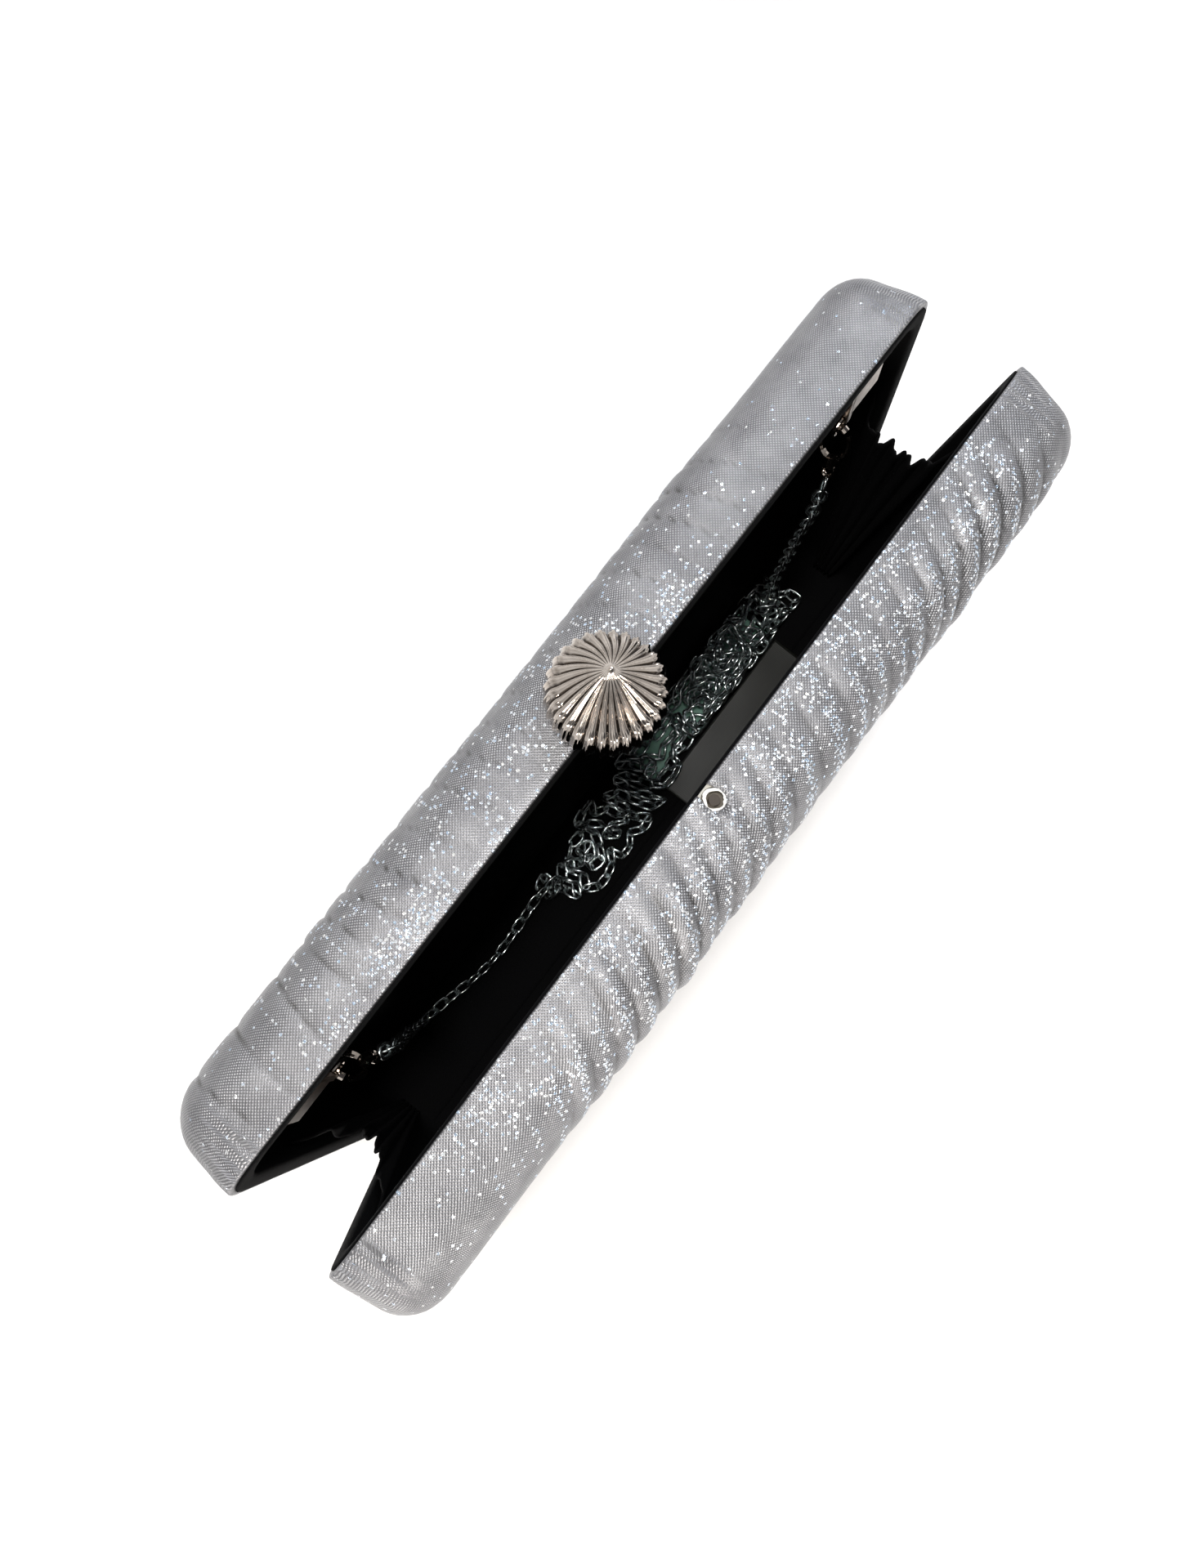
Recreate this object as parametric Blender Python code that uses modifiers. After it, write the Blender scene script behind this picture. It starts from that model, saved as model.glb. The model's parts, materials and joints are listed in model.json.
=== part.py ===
"""Box evening bag: two hard half-shells hinged at the bottom, a fluted knob catch, gussets and a shoulder chain.

Metres, +Z up. The bag stands open on its bottom. +X runs along the bag, +Y is the side of the back half,
which carries the knob and the chain. The origin is at the bottom centre. Every piece of a half is modelled
shut, in that half's own frame (hinge axis at y = z = 0, y outwards), and an empty on the axis tilts it open.
"""

import math

import bmesh
import bpy
from mathutils import Euler, Matrix, Vector

# ---- driving dimensions ----
LENGTH = 0.200
HEIGHT = 0.123
HALF_DEPTH = 0.018
HALF_OPENING = math.radians(5.0)
CORNER_RADIUS = 0.010  # corners of the mouth outline, seen from the front
EDGE_RADIUS = 0.009  # soft edge around each outer face
GAP = 0.0003  # room between touching pieces
COVER_THICKNESS = 0.0006
PADDING_THICKNESS = 0.0010
SHELL_THICKNESS = 0.0012
LINING_THICKNESS = 0.0006

# ---- hinge ----
HINGE_ABOVE_BOTTOM = 0.0022
HINGE_LENGTH = 0.160
KNUCKLE_COUNT = 5
KNUCKLE_RADIUS = 0.0016
PIN_RADIUS = 0.0007
PIN_CLEARANCE = 0.0001
LEAF_THICKNESS = 0.0008
LEAF_BELOW_AXIS = 0.0012
LEAF_INNER_Y = 0.0021
LEAF_OUTER_Y = 0.0090
MOUTH_SETBACK = 0.0021  # how far the bottom walls stop short of the hinge axis

# ---- knob and catch ----
KNOB_X = 0.002
KNOB_RADIUS = 0.0106
KNOB_HEIGHT = 0.0125
KNOB_STANDOFF = 0.0026
KNOB_Y = 0.0004
KNOB_BOSS_RADIUS = 0.0022
KNOB_BOSS_HEIGHT = 0.0016
KNOB_SKIRT = 0.0009
BRIDGE_X = 0.0010
BRIDGE_HALF_WIDTH = 0.0037
BRIDGE_HALF_LENGTH = 0.0072
STUD_Y = 0.0040
STUD_RADIUS = 0.0013
STUD_HOLE_RADIUS = 0.0017
STUD_HEAD_RADIUS = 0.0026
STUD_HEAD_HEIGHT = 0.0010
STUD_SEAT = 0.0005  # metal left above the stud's tip
WASHER_RADIUS = 0.0034
WASHER_THICKNESS = 0.0006
MAGNET_RADIUS = 0.0019
MAGNET_THICKNESS = 0.0008
CATCH_X = 0.0000
CATCH_Y = 0.0029
CATCH_HOLE_RADIUS = 0.0023
EYELET_RADIUS = 0.0020
EYELET_BORE = 0.0013
EYELET_DEPTH = 0.0016
SLUG_RADIUS = 0.0010

# ---- chain and its fittings ----
CHAIN_DIAMETER = 0.0036
LUG_INNER_X = 0.0770
LUG_LENGTH = 0.0085
LUG_TOP = 0.1155
LUG_DROP = 0.0058
LUG_THICKNESS = 0.0012
LUG_PLATE_DEPTH = 0.0085
LUG_PLATE_THICKNESS = 0.0008
LUG_EAR = 0.0009
LUG_EAR_WIDTH = 0.0022
LUG_EAR_DROP = 0.0084
LUG_EYE_RADIUS = 0.0008
LUG_Y = 0.0002
RIVET_Y = 0.0052
RIVET_RADIUS = 0.0008
RIVET_HEAD_RADIUS = 0.0017
RIVET_HOLE_RADIUS = 0.0011
LINK_RADIUS = 0.0025
LINK_WIRE = 0.0008
CLASP_AXIS = Vector((-0.42, -0.30, -0.86)).normalized()
CLAW_HALF_WIDTH = 0.0030
CLAW_HALF_LENGTH = 0.0037
CLAW_WIRE = 0.0015
CLASP_EYE_ALONG = 0.0110
CLASP_EYE_RADIUS = 0.0012
CLASP_EYE_WIRE = 0.0009
CLASP_BARREL_RADIUS = 0.0011
GATE_WIRE = 0.0011
HEAP_LOW = Vector((-0.019, -0.0055, 0.0076))
HEAP_HIGH = Vector((0.084, 0.0130, 0.0180))
RIGHT_RUN = [
    (0.0711, 0.0073, 0.0963),
    (0.0704, 0.0069, 0.0942),
    (0.0701, 0.0066, 0.0900),
    (0.0708, 0.0065, 0.0780),
    (0.0720, 0.0071, 0.0630),
    (0.0731, 0.0074, 0.0480),
    (0.0739, 0.0076, 0.0340),
    (0.0743, 0.0076, 0.0206),
]
LEFT_RUN = [
    (-0.0711, 0.0073, 0.0963),
    (-0.0704, 0.0069, 0.0942),
    (-0.0702, 0.0068, 0.0880),
    (-0.0712, 0.0074, 0.0740),
    (-0.0724, 0.0086, 0.0600),
    (-0.0736, 0.0099, 0.0460),
    (-0.0739, 0.0103, 0.0300),
    (-0.0734, 0.0106, 0.0170),
    (-0.0700, 0.0104, 0.0097),
    (-0.0640, 0.0092, 0.0082),
    (-0.0560, 0.0072, 0.0081),
    (-0.0470, 0.0062, 0.0082),
    (-0.0380, 0.0066, 0.0084),
    (-0.0290, 0.0070, 0.0098),
    (-0.0196, 0.0056, 0.0120),
]

# ---- gussets, hinge tape and label ----
GUSSET_TOP = 0.088
GUSSET_BOTTOM = 0.0045
GUSSET_X = 0.0945
GUSSET_FOLD = 0.0050
GUSSET_THICKNESS = 0.0008
GUSSET_SETBACK = 0.0030
GUSSET_DIP = {1: 0.007, -1: 0.028}  # how far each gusset's slack middle hangs below its ends
TAPE_HALF_WIDTH = 0.0070
TAPE_THICKNESS = 0.0004
LABEL_LOW_X = 0.0160
LABEL_HIGH_X = 0.0690
LABEL_THICKNESS = 0.0004

WALL = COVER_THICKNESS + PADDING_THICKNESS + SHELL_THICKNESS + LINING_THICKNESS + 3 * GAP
PADDING_INSET = COVER_THICKNESS + GAP
SHELL_INSET = PADDING_INSET + PADDING_THICKNESS + GAP
LINING_INSET = SHELL_INSET + SHELL_THICKNESS + GAP
FLOOR_ABOVE_AXIS = WALL - HINGE_ABOVE_BOTTOM
TOP_ABOVE_AXIS = HEIGHT - HINGE_ABOVE_BOTTOM
AXIS_HEIGHT = (
    EDGE_RADIUS
    - (EDGE_RADIUS - HINGE_ABOVE_BOTTOM) * math.cos(HALF_OPENING)
    + (HALF_DEPTH - EDGE_RADIUS) * math.sin(HALF_OPENING)
)

FINISHES = {
    "lame": ((0.62, 0.60, 0.58), 0.38, 0.75),
    "foam": ((0.85, 0.84, 0.80), 0.95, 0.0),
    "board": ((0.45, 0.40, 0.34), 0.85, 0.0),
    "velvet": ((0.012, 0.011, 0.014), 0.95, 0.0),
    "nickel": ((0.70, 0.67, 0.64), 0.15, 1.0),
    "steel": ((0.55, 0.55, 0.56), 0.30, 1.0),
    "magnet": ((0.20, 0.20, 0.21), 0.45, 1.0),
    "interfacing": ((0.82, 0.81, 0.78), 0.90, 0.0),
    "satin": ((0.33, 0.40, 0.36), 0.55, 0.0),
}


def clear_scene():
    """Removes every object, so the script can be run again."""
    for old in list(bpy.data.objects):
        bpy.data.objects.remove(old)


def new_collection(name):
    """Makes a collection in the scene."""
    collection = bpy.data.collections.new(name)
    bpy.context.scene.collection.children.link(collection)
    return collection


clear_scene()
PARTS = new_collection("evening_bag")
CUTTERS = new_collection("cutters")


def finish(name):
    """Returns the Principled material of that finish, made once."""
    found = bpy.data.materials.get(name)
    if found:
        return found
    colour, roughness, metallic = FINISHES[name]
    made = bpy.data.materials.new(name)
    made.use_nodes = True
    shader = made.node_tree.nodes["Principled BSDF"]
    shader.inputs["Base Color"].default_value = (*colour, 1.0)
    shader.inputs["Roughness"].default_value = roughness
    shader.inputs["Metallic"].default_value = metallic
    return made


def half_frame(name, turn):
    """An empty on the hinge axis that tilts one half open."""
    frame = bpy.data.objects.new(name, None)
    PARTS.objects.link(frame)
    frame.location = (0.0, 0.0, AXIS_HEIGHT)
    frame.rotation_euler = Euler((-HALF_OPENING, 0.0, turn))
    return frame


BACK = half_frame("back_half_axis", 0.0)
FRONT = half_frame("front_half_axis", math.pi)


def add_mesh(name, mesh, parent=None, material=None):
    """Links a mesh as a part, or as a cutter when it has no material."""
    made = bpy.data.objects.new(name, mesh)
    made.parent = parent
    if material:
        PARTS.objects.link(made)
        mesh.materials.append(finish(material))
        return made
    CUTTERS.objects.link(made)
    made.hide_render = True
    made.display_type = "WIRE"
    return made


def mesh_from(bm, name):
    """Writes a bmesh to a new mesh with smooth round faces."""
    bmesh.ops.recalc_face_normals(bm, faces=bm.faces)
    mesh = bpy.data.meshes.new(name)
    bm.to_mesh(mesh)
    bm.free()
    mesh.shade_smooth()
    mesh.set_sharp_from_angle(angle=math.radians(35))
    return mesh


def box_mesh(name, low, high):
    """A box between two corners."""
    low, high = Vector(low), Vector(high)
    bm = bmesh.new()
    bmesh.ops.create_cube(bm, size=1.0)
    bmesh.ops.scale(bm, vec=high - low, verts=bm.verts)
    bmesh.ops.translate(bm, vec=(low + high) / 2, verts=bm.verts)
    return mesh_from(bm, name)


def cylinder_mesh(name, radius, start, end, segments=24):
    """A round bar between two points."""
    start, end = Vector(start), Vector(end)
    turn = (end - start).to_track_quat("Z", "Y").to_matrix().to_4x4()
    bm = bmesh.new()
    bmesh.ops.create_cone(
        bm,
        cap_ends=True,
        segments=segments,
        radius1=radius,
        radius2=radius,
        depth=(end - start).length,
        matrix=Matrix.Translation((start + end) / 2) @ turn,
    )
    return mesh_from(bm, name)


def combine(target, tool, operation):
    """Adds an exact Boolean of the tool to the target."""
    modifier = target.modifiers.new(tool.name, "BOOLEAN")
    modifier.operation = operation
    modifier.solver = "EXACT"
    modifier.object = tool


def turned(name, profile, place, parent, material, steps=32):
    """A turned piece about +Z at a place, its profile running down the outer side."""
    mesh = bpy.data.meshes.new(name)
    edges = [(i, i + 1) for i in range(len(profile) - 1)]
    mesh.from_pydata([(r, 0.0, z) for r, z in profile], edges, [])
    made = add_mesh(name, mesh, parent, material)
    made.location = place
    screw = made.modifiers.new("turn", "SCREW")
    screw.steps = steps
    screw.render_steps = steps
    screw.use_merge_vertices = True
    screw.merge_threshold = 0.00001
    return made


# ---- the two halves ----
def tray(name, inset, thickness, parent, material):
    """One layer of a half: an open tray with soft outer edges, its mouth on the parting plane."""
    low = Vector((inset - LENGTH / 2, GAP, inset - HINGE_ABOVE_BOTTOM))
    high = Vector((LENGTH / 2 - inset, HALF_DEPTH - inset, TOP_ABOVE_AXIS - inset))
    bm = bmesh.new()
    bmesh.ops.create_cube(bm, size=1.0)
    bmesh.ops.scale(bm, vec=high - low, verts=bm.verts)
    bmesh.ops.translate(bm, vec=(low + high) / 2, verts=bm.verts)
    corners = [e for e in bm.edges if abs((e.verts[0].co - e.verts[1].co).normalized().y) > 0.9]
    bmesh.ops.bevel(
        bm, geom=corners, offset=CORNER_RADIUS - inset, segments=4, profile=0.5, affect="EDGES", material=-1
    )
    outline = [e for e in bm.edges if all(v.co.y > high.y - 1e-6 for v in e.verts)]
    bmesh.ops.bevel(
        bm, geom=outline, offset=EDGE_RADIUS - inset, segments=4, profile=0.5, affect="EDGES", material=-1
    )
    mouth = [f for f in bm.faces if all(v.co.y < low.y + 1e-6 for v in f.verts)]
    bmesh.ops.delete(bm, geom=mouth, context="FACES")
    made = add_mesh(name, mesh_from(bm, name), parent, material)
    wall = made.modifiers.new("wall", "SOLIDIFY")
    wall.thickness = thickness
    wall.offset = -1.0
    wall.use_even_offset = True
    return made


def build_half(prefix, parent, top_hole, top_hole_layers):
    """The four layers of one half, cut back at the hinge and bored for its catch."""
    layers = {
        "cover": (0.0, COVER_THICKNESS, "lame"),
        "padding": (PADDING_INSET, PADDING_THICKNESS, "foam"),
        "shell": (SHELL_INSET, SHELL_THICKNESS, "board"),
        "lining": (LINING_INSET, LINING_THICKNESS, "velvet"),
    }
    hinge_room = add_mesh(
        f"{prefix}_hinge_room",
        box_mesh(
            f"{prefix}_hinge_room",
            (-LENGTH, -0.002, -0.010),
            (LENGTH, MOUTH_SETBACK, FLOOR_ABOVE_AXIS + GAP),
        ),
        parent,
    )
    leaf_room = add_mesh(
        f"{prefix}_leaf_room",
        box_mesh(
            f"{prefix}_leaf_room",
            (-HINGE_LENGTH / 2 - GAP, 0.0, PADDING_INSET - HINGE_ABOVE_BOTTOM - 0.0001),
            (HINGE_LENGTH / 2 + GAP, LEAF_OUTER_Y + GAP, SHELL_INSET - HINGE_ABOVE_BOTTOM - 0.0001),
        ),
        parent,
    )
    hole_x, hole_y, hole_radius = top_hole
    bore = add_mesh(
        f"{prefix}_top_bore",
        cylinder_mesh(
            f"{prefix}_top_bore",
            hole_radius,
            (hole_x, hole_y, TOP_ABOVE_AXIS - 0.010),
            (hole_x, hole_y, TOP_ABOVE_AXIS + 0.002),
        ),
        parent,
    )
    made = {}
    for layer, (inset, thickness, material) in layers.items():
        piece = tray(f"{prefix}_{layer}", inset, thickness, parent, material)
        combine(piece, hinge_room, "DIFFERENCE")
        if layer == "padding":
            combine(piece, leaf_room, "DIFFERENCE")
        if layer in top_hole_layers:
            combine(piece, bore, "DIFFERENCE")
        made[layer] = piece
    return made


# ---- hinge ----
def knuckle_mesh(name, low_x, high_x):
    """One knuckle: a round barrel with a tongue that reaches its leaf."""
    under, over = -LEAF_BELOW_AXIS, LEAF_THICKNESS - LEAF_BELOW_AXIS
    first = math.asin(over / KNUCKLE_RADIUS)
    sweep = math.asin(under / KNUCKLE_RADIUS) + 2 * math.pi - first
    arc = [first + sweep * i / 20 for i in range(21)]
    outline = [(math.cos(a) * KNUCKLE_RADIUS, math.sin(a) * KNUCKLE_RADIUS) for a in arc]
    outline += [(LEAF_INNER_Y + 0.001, under), (LEAF_INNER_Y + 0.001, over)]
    bm = bmesh.new()
    face = bm.faces.new([bm.verts.new((low_x, y, z)) for y, z in outline])
    grown = bmesh.ops.extrude_face_region(bm, geom=[face])
    moved = [v for v in grown["geom"] if isinstance(v, bmesh.types.BMVert)]
    bmesh.ops.translate(bm, vec=(high_x - low_x, 0, 0), verts=moved)
    return mesh_from(bm, name)


def build_leaf(prefix, parent, own_knuckles):
    """A flat leaf between the shell board and the cover, with its knuckles around the pin."""
    name = f"{prefix}_hinge_leaf"
    half = HINGE_LENGTH / 2
    strip = box_mesh(
        name,
        (-half, LEAF_INNER_Y, -LEAF_BELOW_AXIS),
        (half, LEAF_OUTER_Y, LEAF_THICKNESS - LEAF_BELOW_AXIS),
    )
    leaf = add_mesh(name, strip, parent, "steel")
    pitch = HINGE_LENGTH / KNUCKLE_COUNT
    for i in own_knuckles:
        low = -half + i * pitch + (GAP / 2 if i else 0.0)
        high = -half + (i + 1) * pitch - (GAP / 2 if i < KNUCKLE_COUNT - 1 else 0.0)
        tool = f"{prefix}_knuckle_{i}"
        combine(leaf, add_mesh(tool, knuckle_mesh(tool, low, high), parent), "UNION")
    bore = cylinder_mesh(
        f"{prefix}_pin_bore", PIN_RADIUS + PIN_CLEARANCE, (-half - 0.001, 0, 0), (half + 0.001, 0, 0)
    )
    combine(leaf, add_mesh(f"{prefix}_pin_bore", bore, parent), "DIFFERENCE")
    return leaf


def build_pin():
    """The hinge pin along the axis."""
    half = HINGE_LENGTH / 2 + 0.0005
    add_mesh("hinge_pin", cylinder_mesh("hinge_pin", PIN_RADIUS, (-half, 0, 0), (half, 0, 0)), BACK, "steel")


# ---- soft pieces that cross the hinge ----
def strip_mesh(name, rows, thickness):
    """A thin closed sheet over a grid of points, grown evenly to both sides."""
    bm = bmesh.new()
    grid = [[bm.verts.new(p) for p in row] for row in rows]
    for lower, upper in zip(grid, grid[1:]):
        for i in range(len(lower) - 1):
            bm.faces.new((lower[i], lower[i + 1], upper[i + 1], upper[i]))
    bmesh.ops.recalc_face_normals(bm, faces=bm.faces)
    bmesh.ops.solidify(bm, geom=list(bm.faces), thickness=thickness)
    return mesh_from(bm, name)


def in_half(parent, x, y, z):
    """The world place of a point given in a half's own frame."""
    turn = parent.rotation_euler.to_matrix()
    return Vector(parent.location) + turn @ Vector((x, y, z))


def build_gusset(name, side):
    """A folded end gusset between the two linings, gathered at this opening."""
    rows = []
    for step in range(6):
        row = []
        for fold in range(5):
            top = GUSSET_TOP - GUSSET_DIP[side] * (1 - abs(fold / 2 - 1))
            reach = in_half(BACK, 0, GUSSET_SETBACK, GUSSET_BOTTOM + (top - GUSSET_BOTTOM) * step / 5)
            x = GUSSET_X - (GUSSET_FOLD if fold % 2 else 0.0)
            row.append((side * x, reach.y * (1 - fold / 2), reach.z))
        rows.append(row)
    add_mesh(name, strip_mesh(name, rows, GUSSET_THICKNESS), None, "velvet")


def build_tape():
    """The lining tape that covers the hinge barrel inside the bag."""
    lift = FLOOR_ABOVE_AXIS + GAP + TAPE_THICKNESS / 2
    half = HINGE_LENGTH / 2 + 0.004
    rows = []
    for x in (-half, half):
        back = [in_half(BACK, x, y, lift) for y in (TAPE_HALF_WIDTH, 0.0030)]
        middle = [Vector((x, 0.0, AXIS_HEIGHT + lift + 0.0001))]
        front = [Vector((p.x, -p.y, p.z)) for p in reversed(back)]
        rows.append(back + middle + front)
    add_mesh("hinge_tape", strip_mesh("hinge_tape", rows, TAPE_THICKNESS), None, "velvet")


def build_label(name, parent, low_x, high_x, reach):
    """A plain satin label on the floor of one half."""
    low_z = FLOOR_ABOVE_AXIS + TAPE_THICKNESS + 3 * GAP
    low = (low_x, 0.0012, low_z)
    high = (high_x, reach, low_z + LABEL_THICKNESS)
    add_mesh(name, box_mesh(name, low, high), parent, "satin")


# ---- knob and catch ----
def dome_profile():
    """The knob's outline from its pointed boss down over the dome to its flat underside."""
    shoulder = KNOB_HEIGHT - KNOB_BOSS_HEIGHT
    profile = [(0.0, KNOB_HEIGHT), (KNOB_BOSS_RADIUS * 0.55, KNOB_HEIGHT - 0.0004)]
    profile.append((KNOB_BOSS_RADIUS, shoulder))
    for i in range(1, 9):
        angle = math.radians(78 - i * 9.0)
        profile.append((KNOB_RADIUS * math.cos(angle), shoulder * math.sin(angle)))
    return profile + [(KNOB_RADIUS, KNOB_SKIRT), (KNOB_RADIUS * 0.97, 0.0), (0.0, 0.0)]


def bored(target, name, radius, start, end):
    """Cuts a round hole between two points of the target's own half."""
    tool = add_mesh(name, cylinder_mesh(name, radius, start, end), target.parent)
    combine(target, tool, "DIFFERENCE")


def build_knob():
    """The knob over the parting line, held by a stud through the back half's top wall."""
    under = TOP_ABOVE_AXIS + KNOB_STANDOFF
    turned("knob", dome_profile(), (KNOB_X, KNOB_Y, under), BACK, "nickel", steps=48)

    low, high = TOP_ABOVE_AXIS + 2 * GAP, under - GAP
    corner = Vector((BRIDGE_HALF_WIDTH, BRIDGE_HALF_LENGTH, 0.0))
    bridge = box_mesh("knob_base", Vector((BRIDGE_X, 0.0, low)) - corner, Vector((BRIDGE_X, 0.0, high)) + corner)
    base = add_mesh("knob_base", bridge, BACK, "nickel")
    soften = base.modifiers.new("soften", "BEVEL")
    soften.width = 0.0004
    soften.segments = 2
    tip = high - STUD_SEAT
    bored(base, "stud_room", STUD_HOLE_RADIUS, (KNOB_X, STUD_Y, low - 0.001), (KNOB_X, STUD_Y, tip))
    seat = low + MAGNET_THICKNESS + 0.0001
    magnet_y = -CATCH_Y
    room = MAGNET_RADIUS + GAP
    bored(base, "magnet_room", room, (CATCH_X, magnet_y, low - 0.001), (CATCH_X, magnet_y, seat + GAP))
    disc = cylinder_mesh(
        "closing_magnet", MAGNET_RADIUS, (CATCH_X, magnet_y, seat - MAGNET_THICKNESS), (CATCH_X, magnet_y, seat)
    )
    add_mesh("closing_magnet", disc, BACK, "magnet")

    washer_top = TOP_ABOVE_AXIS - WALL - GAP
    washer = [(STUD_HOLE_RADIUS, 0.0), (WASHER_RADIUS, 0.0), (WASHER_RADIUS, -WASHER_THICKNESS)]
    washer += [(STUD_HOLE_RADIUS, -WASHER_THICKNESS), (STUD_HOLE_RADIUS, 0.0)]
    turned("knob_washer", washer, (KNOB_X, STUD_Y, washer_top), BACK, "steel", steps=24)
    head_top = washer_top - WASHER_THICKNESS - GAP
    length = tip - GAP - head_top
    stud = [(0.0, length), (STUD_RADIUS, length), (STUD_RADIUS, 0.0), (STUD_HEAD_RADIUS, 0.0)]
    stud += [(STUD_HEAD_RADIUS, 0.0003 - STUD_HEAD_HEIGHT), (STUD_HEAD_RADIUS * 0.85, -STUD_HEAD_HEIGHT)]
    turned("knob_stud", stud + [(0.0, -STUD_HEAD_HEIGHT)], (KNOB_X, STUD_Y, head_top), BACK, "steel", steps=24)


def build_catch():
    """The steel slug and its ring in the front half's top wall, which the knob's magnet meets."""
    place = (-CATCH_X, CATCH_Y, TOP_ABOVE_AXIS)
    ring = [(EYELET_BORE, 0.0), (EYELET_RADIUS, 0.0), (EYELET_RADIUS, -EYELET_DEPTH)]
    ring += [(EYELET_BORE, -EYELET_DEPTH), (EYELET_BORE, 0.0)]
    turned("catch_eyelet", ring, place, FRONT, "interfacing", steps=24)
    slug = [(0.0, -GAP), (SLUG_RADIUS, -GAP), (SLUG_RADIUS, -EYELET_DEPTH), (0.0, -EYELET_DEPTH)]
    turned("catch_slug", slug, place, FRONT, "steel", steps=24)


# ---- chain fittings ----
def curve_tube(name, points, diameter, material, cyclic=False):
    """A round wire along points, with closed ends."""
    curve = bpy.data.curves.new(name, "CURVE")
    curve.dimensions = "3D"
    curve.bevel_depth = diameter / 2
    curve.bevel_resolution = 2
    curve.use_fill_caps = not cyclic
    spline = curve.splines.new("POLY")
    spline.points.add(len(points) - 1)
    for target, point in zip(spline.points, points):
        target.co = (*point, 1.0)
    spline.use_cyclic_u = cyclic
    made = bpy.data.objects.new(name, curve)
    if material:
        PARTS.objects.link(made)
        curve.materials.append(finish(material))
    else:
        CUTTERS.objects.link(made)
        made.hide_render = True
    return made


def as_mesh(made, material):
    """Turns a curve object into a mesh part or cutter with welded caps."""
    bpy.context.view_layer.update()
    depsgraph = bpy.context.evaluated_depsgraph_get()
    mesh = bpy.data.meshes.new_from_object(made.evaluated_get(depsgraph))
    bm = bmesh.new()
    bm.from_mesh(mesh)
    bmesh.ops.remove_doubles(bm, verts=bm.verts, dist=0.00001)
    bm.to_mesh(mesh)
    bm.free()
    name, world = made.name, made.matrix_world.copy()
    bpy.data.objects.remove(made)
    mesh.materials.clear()
    made = add_mesh(name, mesh, None, material)
    made.matrix_world = world
    return made


def lug_eye(side):
    """The middle of a lug's eye, in the back half's own frame."""
    x = side * (LUG_INNER_X - LUG_EAR / 2)
    return Vector((x, LUG_Y + LUG_EAR_WIDTH / 2, LUG_TOP - LUG_EAR_DROP + LUG_EAR_WIDTH / 2))


def build_lug(name, side, layers):
    """A bracket riveted under the top wall: its tab hangs at the mouth, its turned ear holds the link."""
    inner = side * LUG_INNER_X
    outer = side * (LUG_INNER_X + LUG_LENGTH)
    low_x, high_x = min(inner, outer), max(inner, outer)
    tab = box_mesh(name, (low_x, LUG_Y, LUG_TOP - LUG_DROP), (high_x, LUG_Y + LUG_THICKNESS, LUG_TOP))
    lug = add_mesh(name, tab, BACK, "nickel")
    plate = box_mesh(
        f"{name}_plate",
        (low_x, LUG_Y + LUG_THICKNESS / 2, LUG_TOP - LUG_PLATE_THICKNESS),
        (high_x, LUG_PLATE_DEPTH, LUG_TOP - 0.00005),
    )
    combine(lug, add_mesh(f"{name}_plate", plate, BACK), "UNION")
    tip_x = inner - side * LUG_EAR
    root_x = inner + side * 0.0004
    ear = box_mesh(
        f"{name}_ear",
        (min(tip_x, root_x), LUG_Y + 0.00005, LUG_TOP - LUG_EAR_DROP),
        (max(tip_x, root_x), LUG_Y + LUG_EAR_WIDTH, LUG_TOP - 0.0004),
    )
    combine(lug, add_mesh(f"{name}_ear", ear, BACK), "UNION")
    eye = lug_eye(side)
    reach = Vector((0.0020, 0.0, 0.0))
    bored(lug, f"{name}_eye", LUG_EYE_RADIUS, eye - reach, eye + reach)
    rivet = Vector((side * (LUG_INNER_X + LUG_LENGTH / 2), RIVET_Y, LUG_TOP))
    drill = (rivet - Vector((0.0, 0.0, 0.003)), rivet + Vector((0.0, 0.0, 0.0028)))
    for piece in (lug, *layers):
        bored(piece, f"{name}_rivet_hole_{piece.name}", RIVET_HOLE_RADIUS, *drill)
    under = -LUG_PLATE_THICKNESS - GAP
    profile = [(0.0, 0.0022), (RIVET_RADIUS, 0.0022), (RIVET_RADIUS, under), (RIVET_HEAD_RADIUS, under)]
    profile += [(RIVET_HEAD_RADIUS * 0.76, under - 0.0007), (0.0, under - 0.0007)]
    turned(f"{name}_rivet", profile, rivet, BACK, "steel", steps=16)


def clasp_point(side, across, along):
    """The world place of a point in a clasp's own plane, counted from its link downwards."""
    axis = Vector((side * CLASP_AXIS.x, CLASP_AXIS.y, CLASP_AXIS.z))
    lateral = (axis * axis.y - Vector((0.0, 1.0, 0.0))).normalized()
    eye = lug_eye(side)
    link_low = in_half(BACK, eye.x, eye.y, eye.z) + Vector((-side * 0.0006, -0.0002, -2 * LINK_RADIUS + 0.0001))
    return link_low + lateral * across + axis * (along - 0.0021)


def claw_arc(side, first, last, count):
    """Points on the claw's oval between two angles, in degrees from across towards the eye."""
    points = []
    for i in range(count + 1):
        angle = math.radians(first + (last - first) * i / count)
        across = CLAW_HALF_WIDTH * math.cos(angle)
        along = CLAW_WIRE / 2 + CLAW_HALF_LENGTH * (1 + math.sin(angle))
        points.append(clasp_point(side, across, along))
    return points


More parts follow.
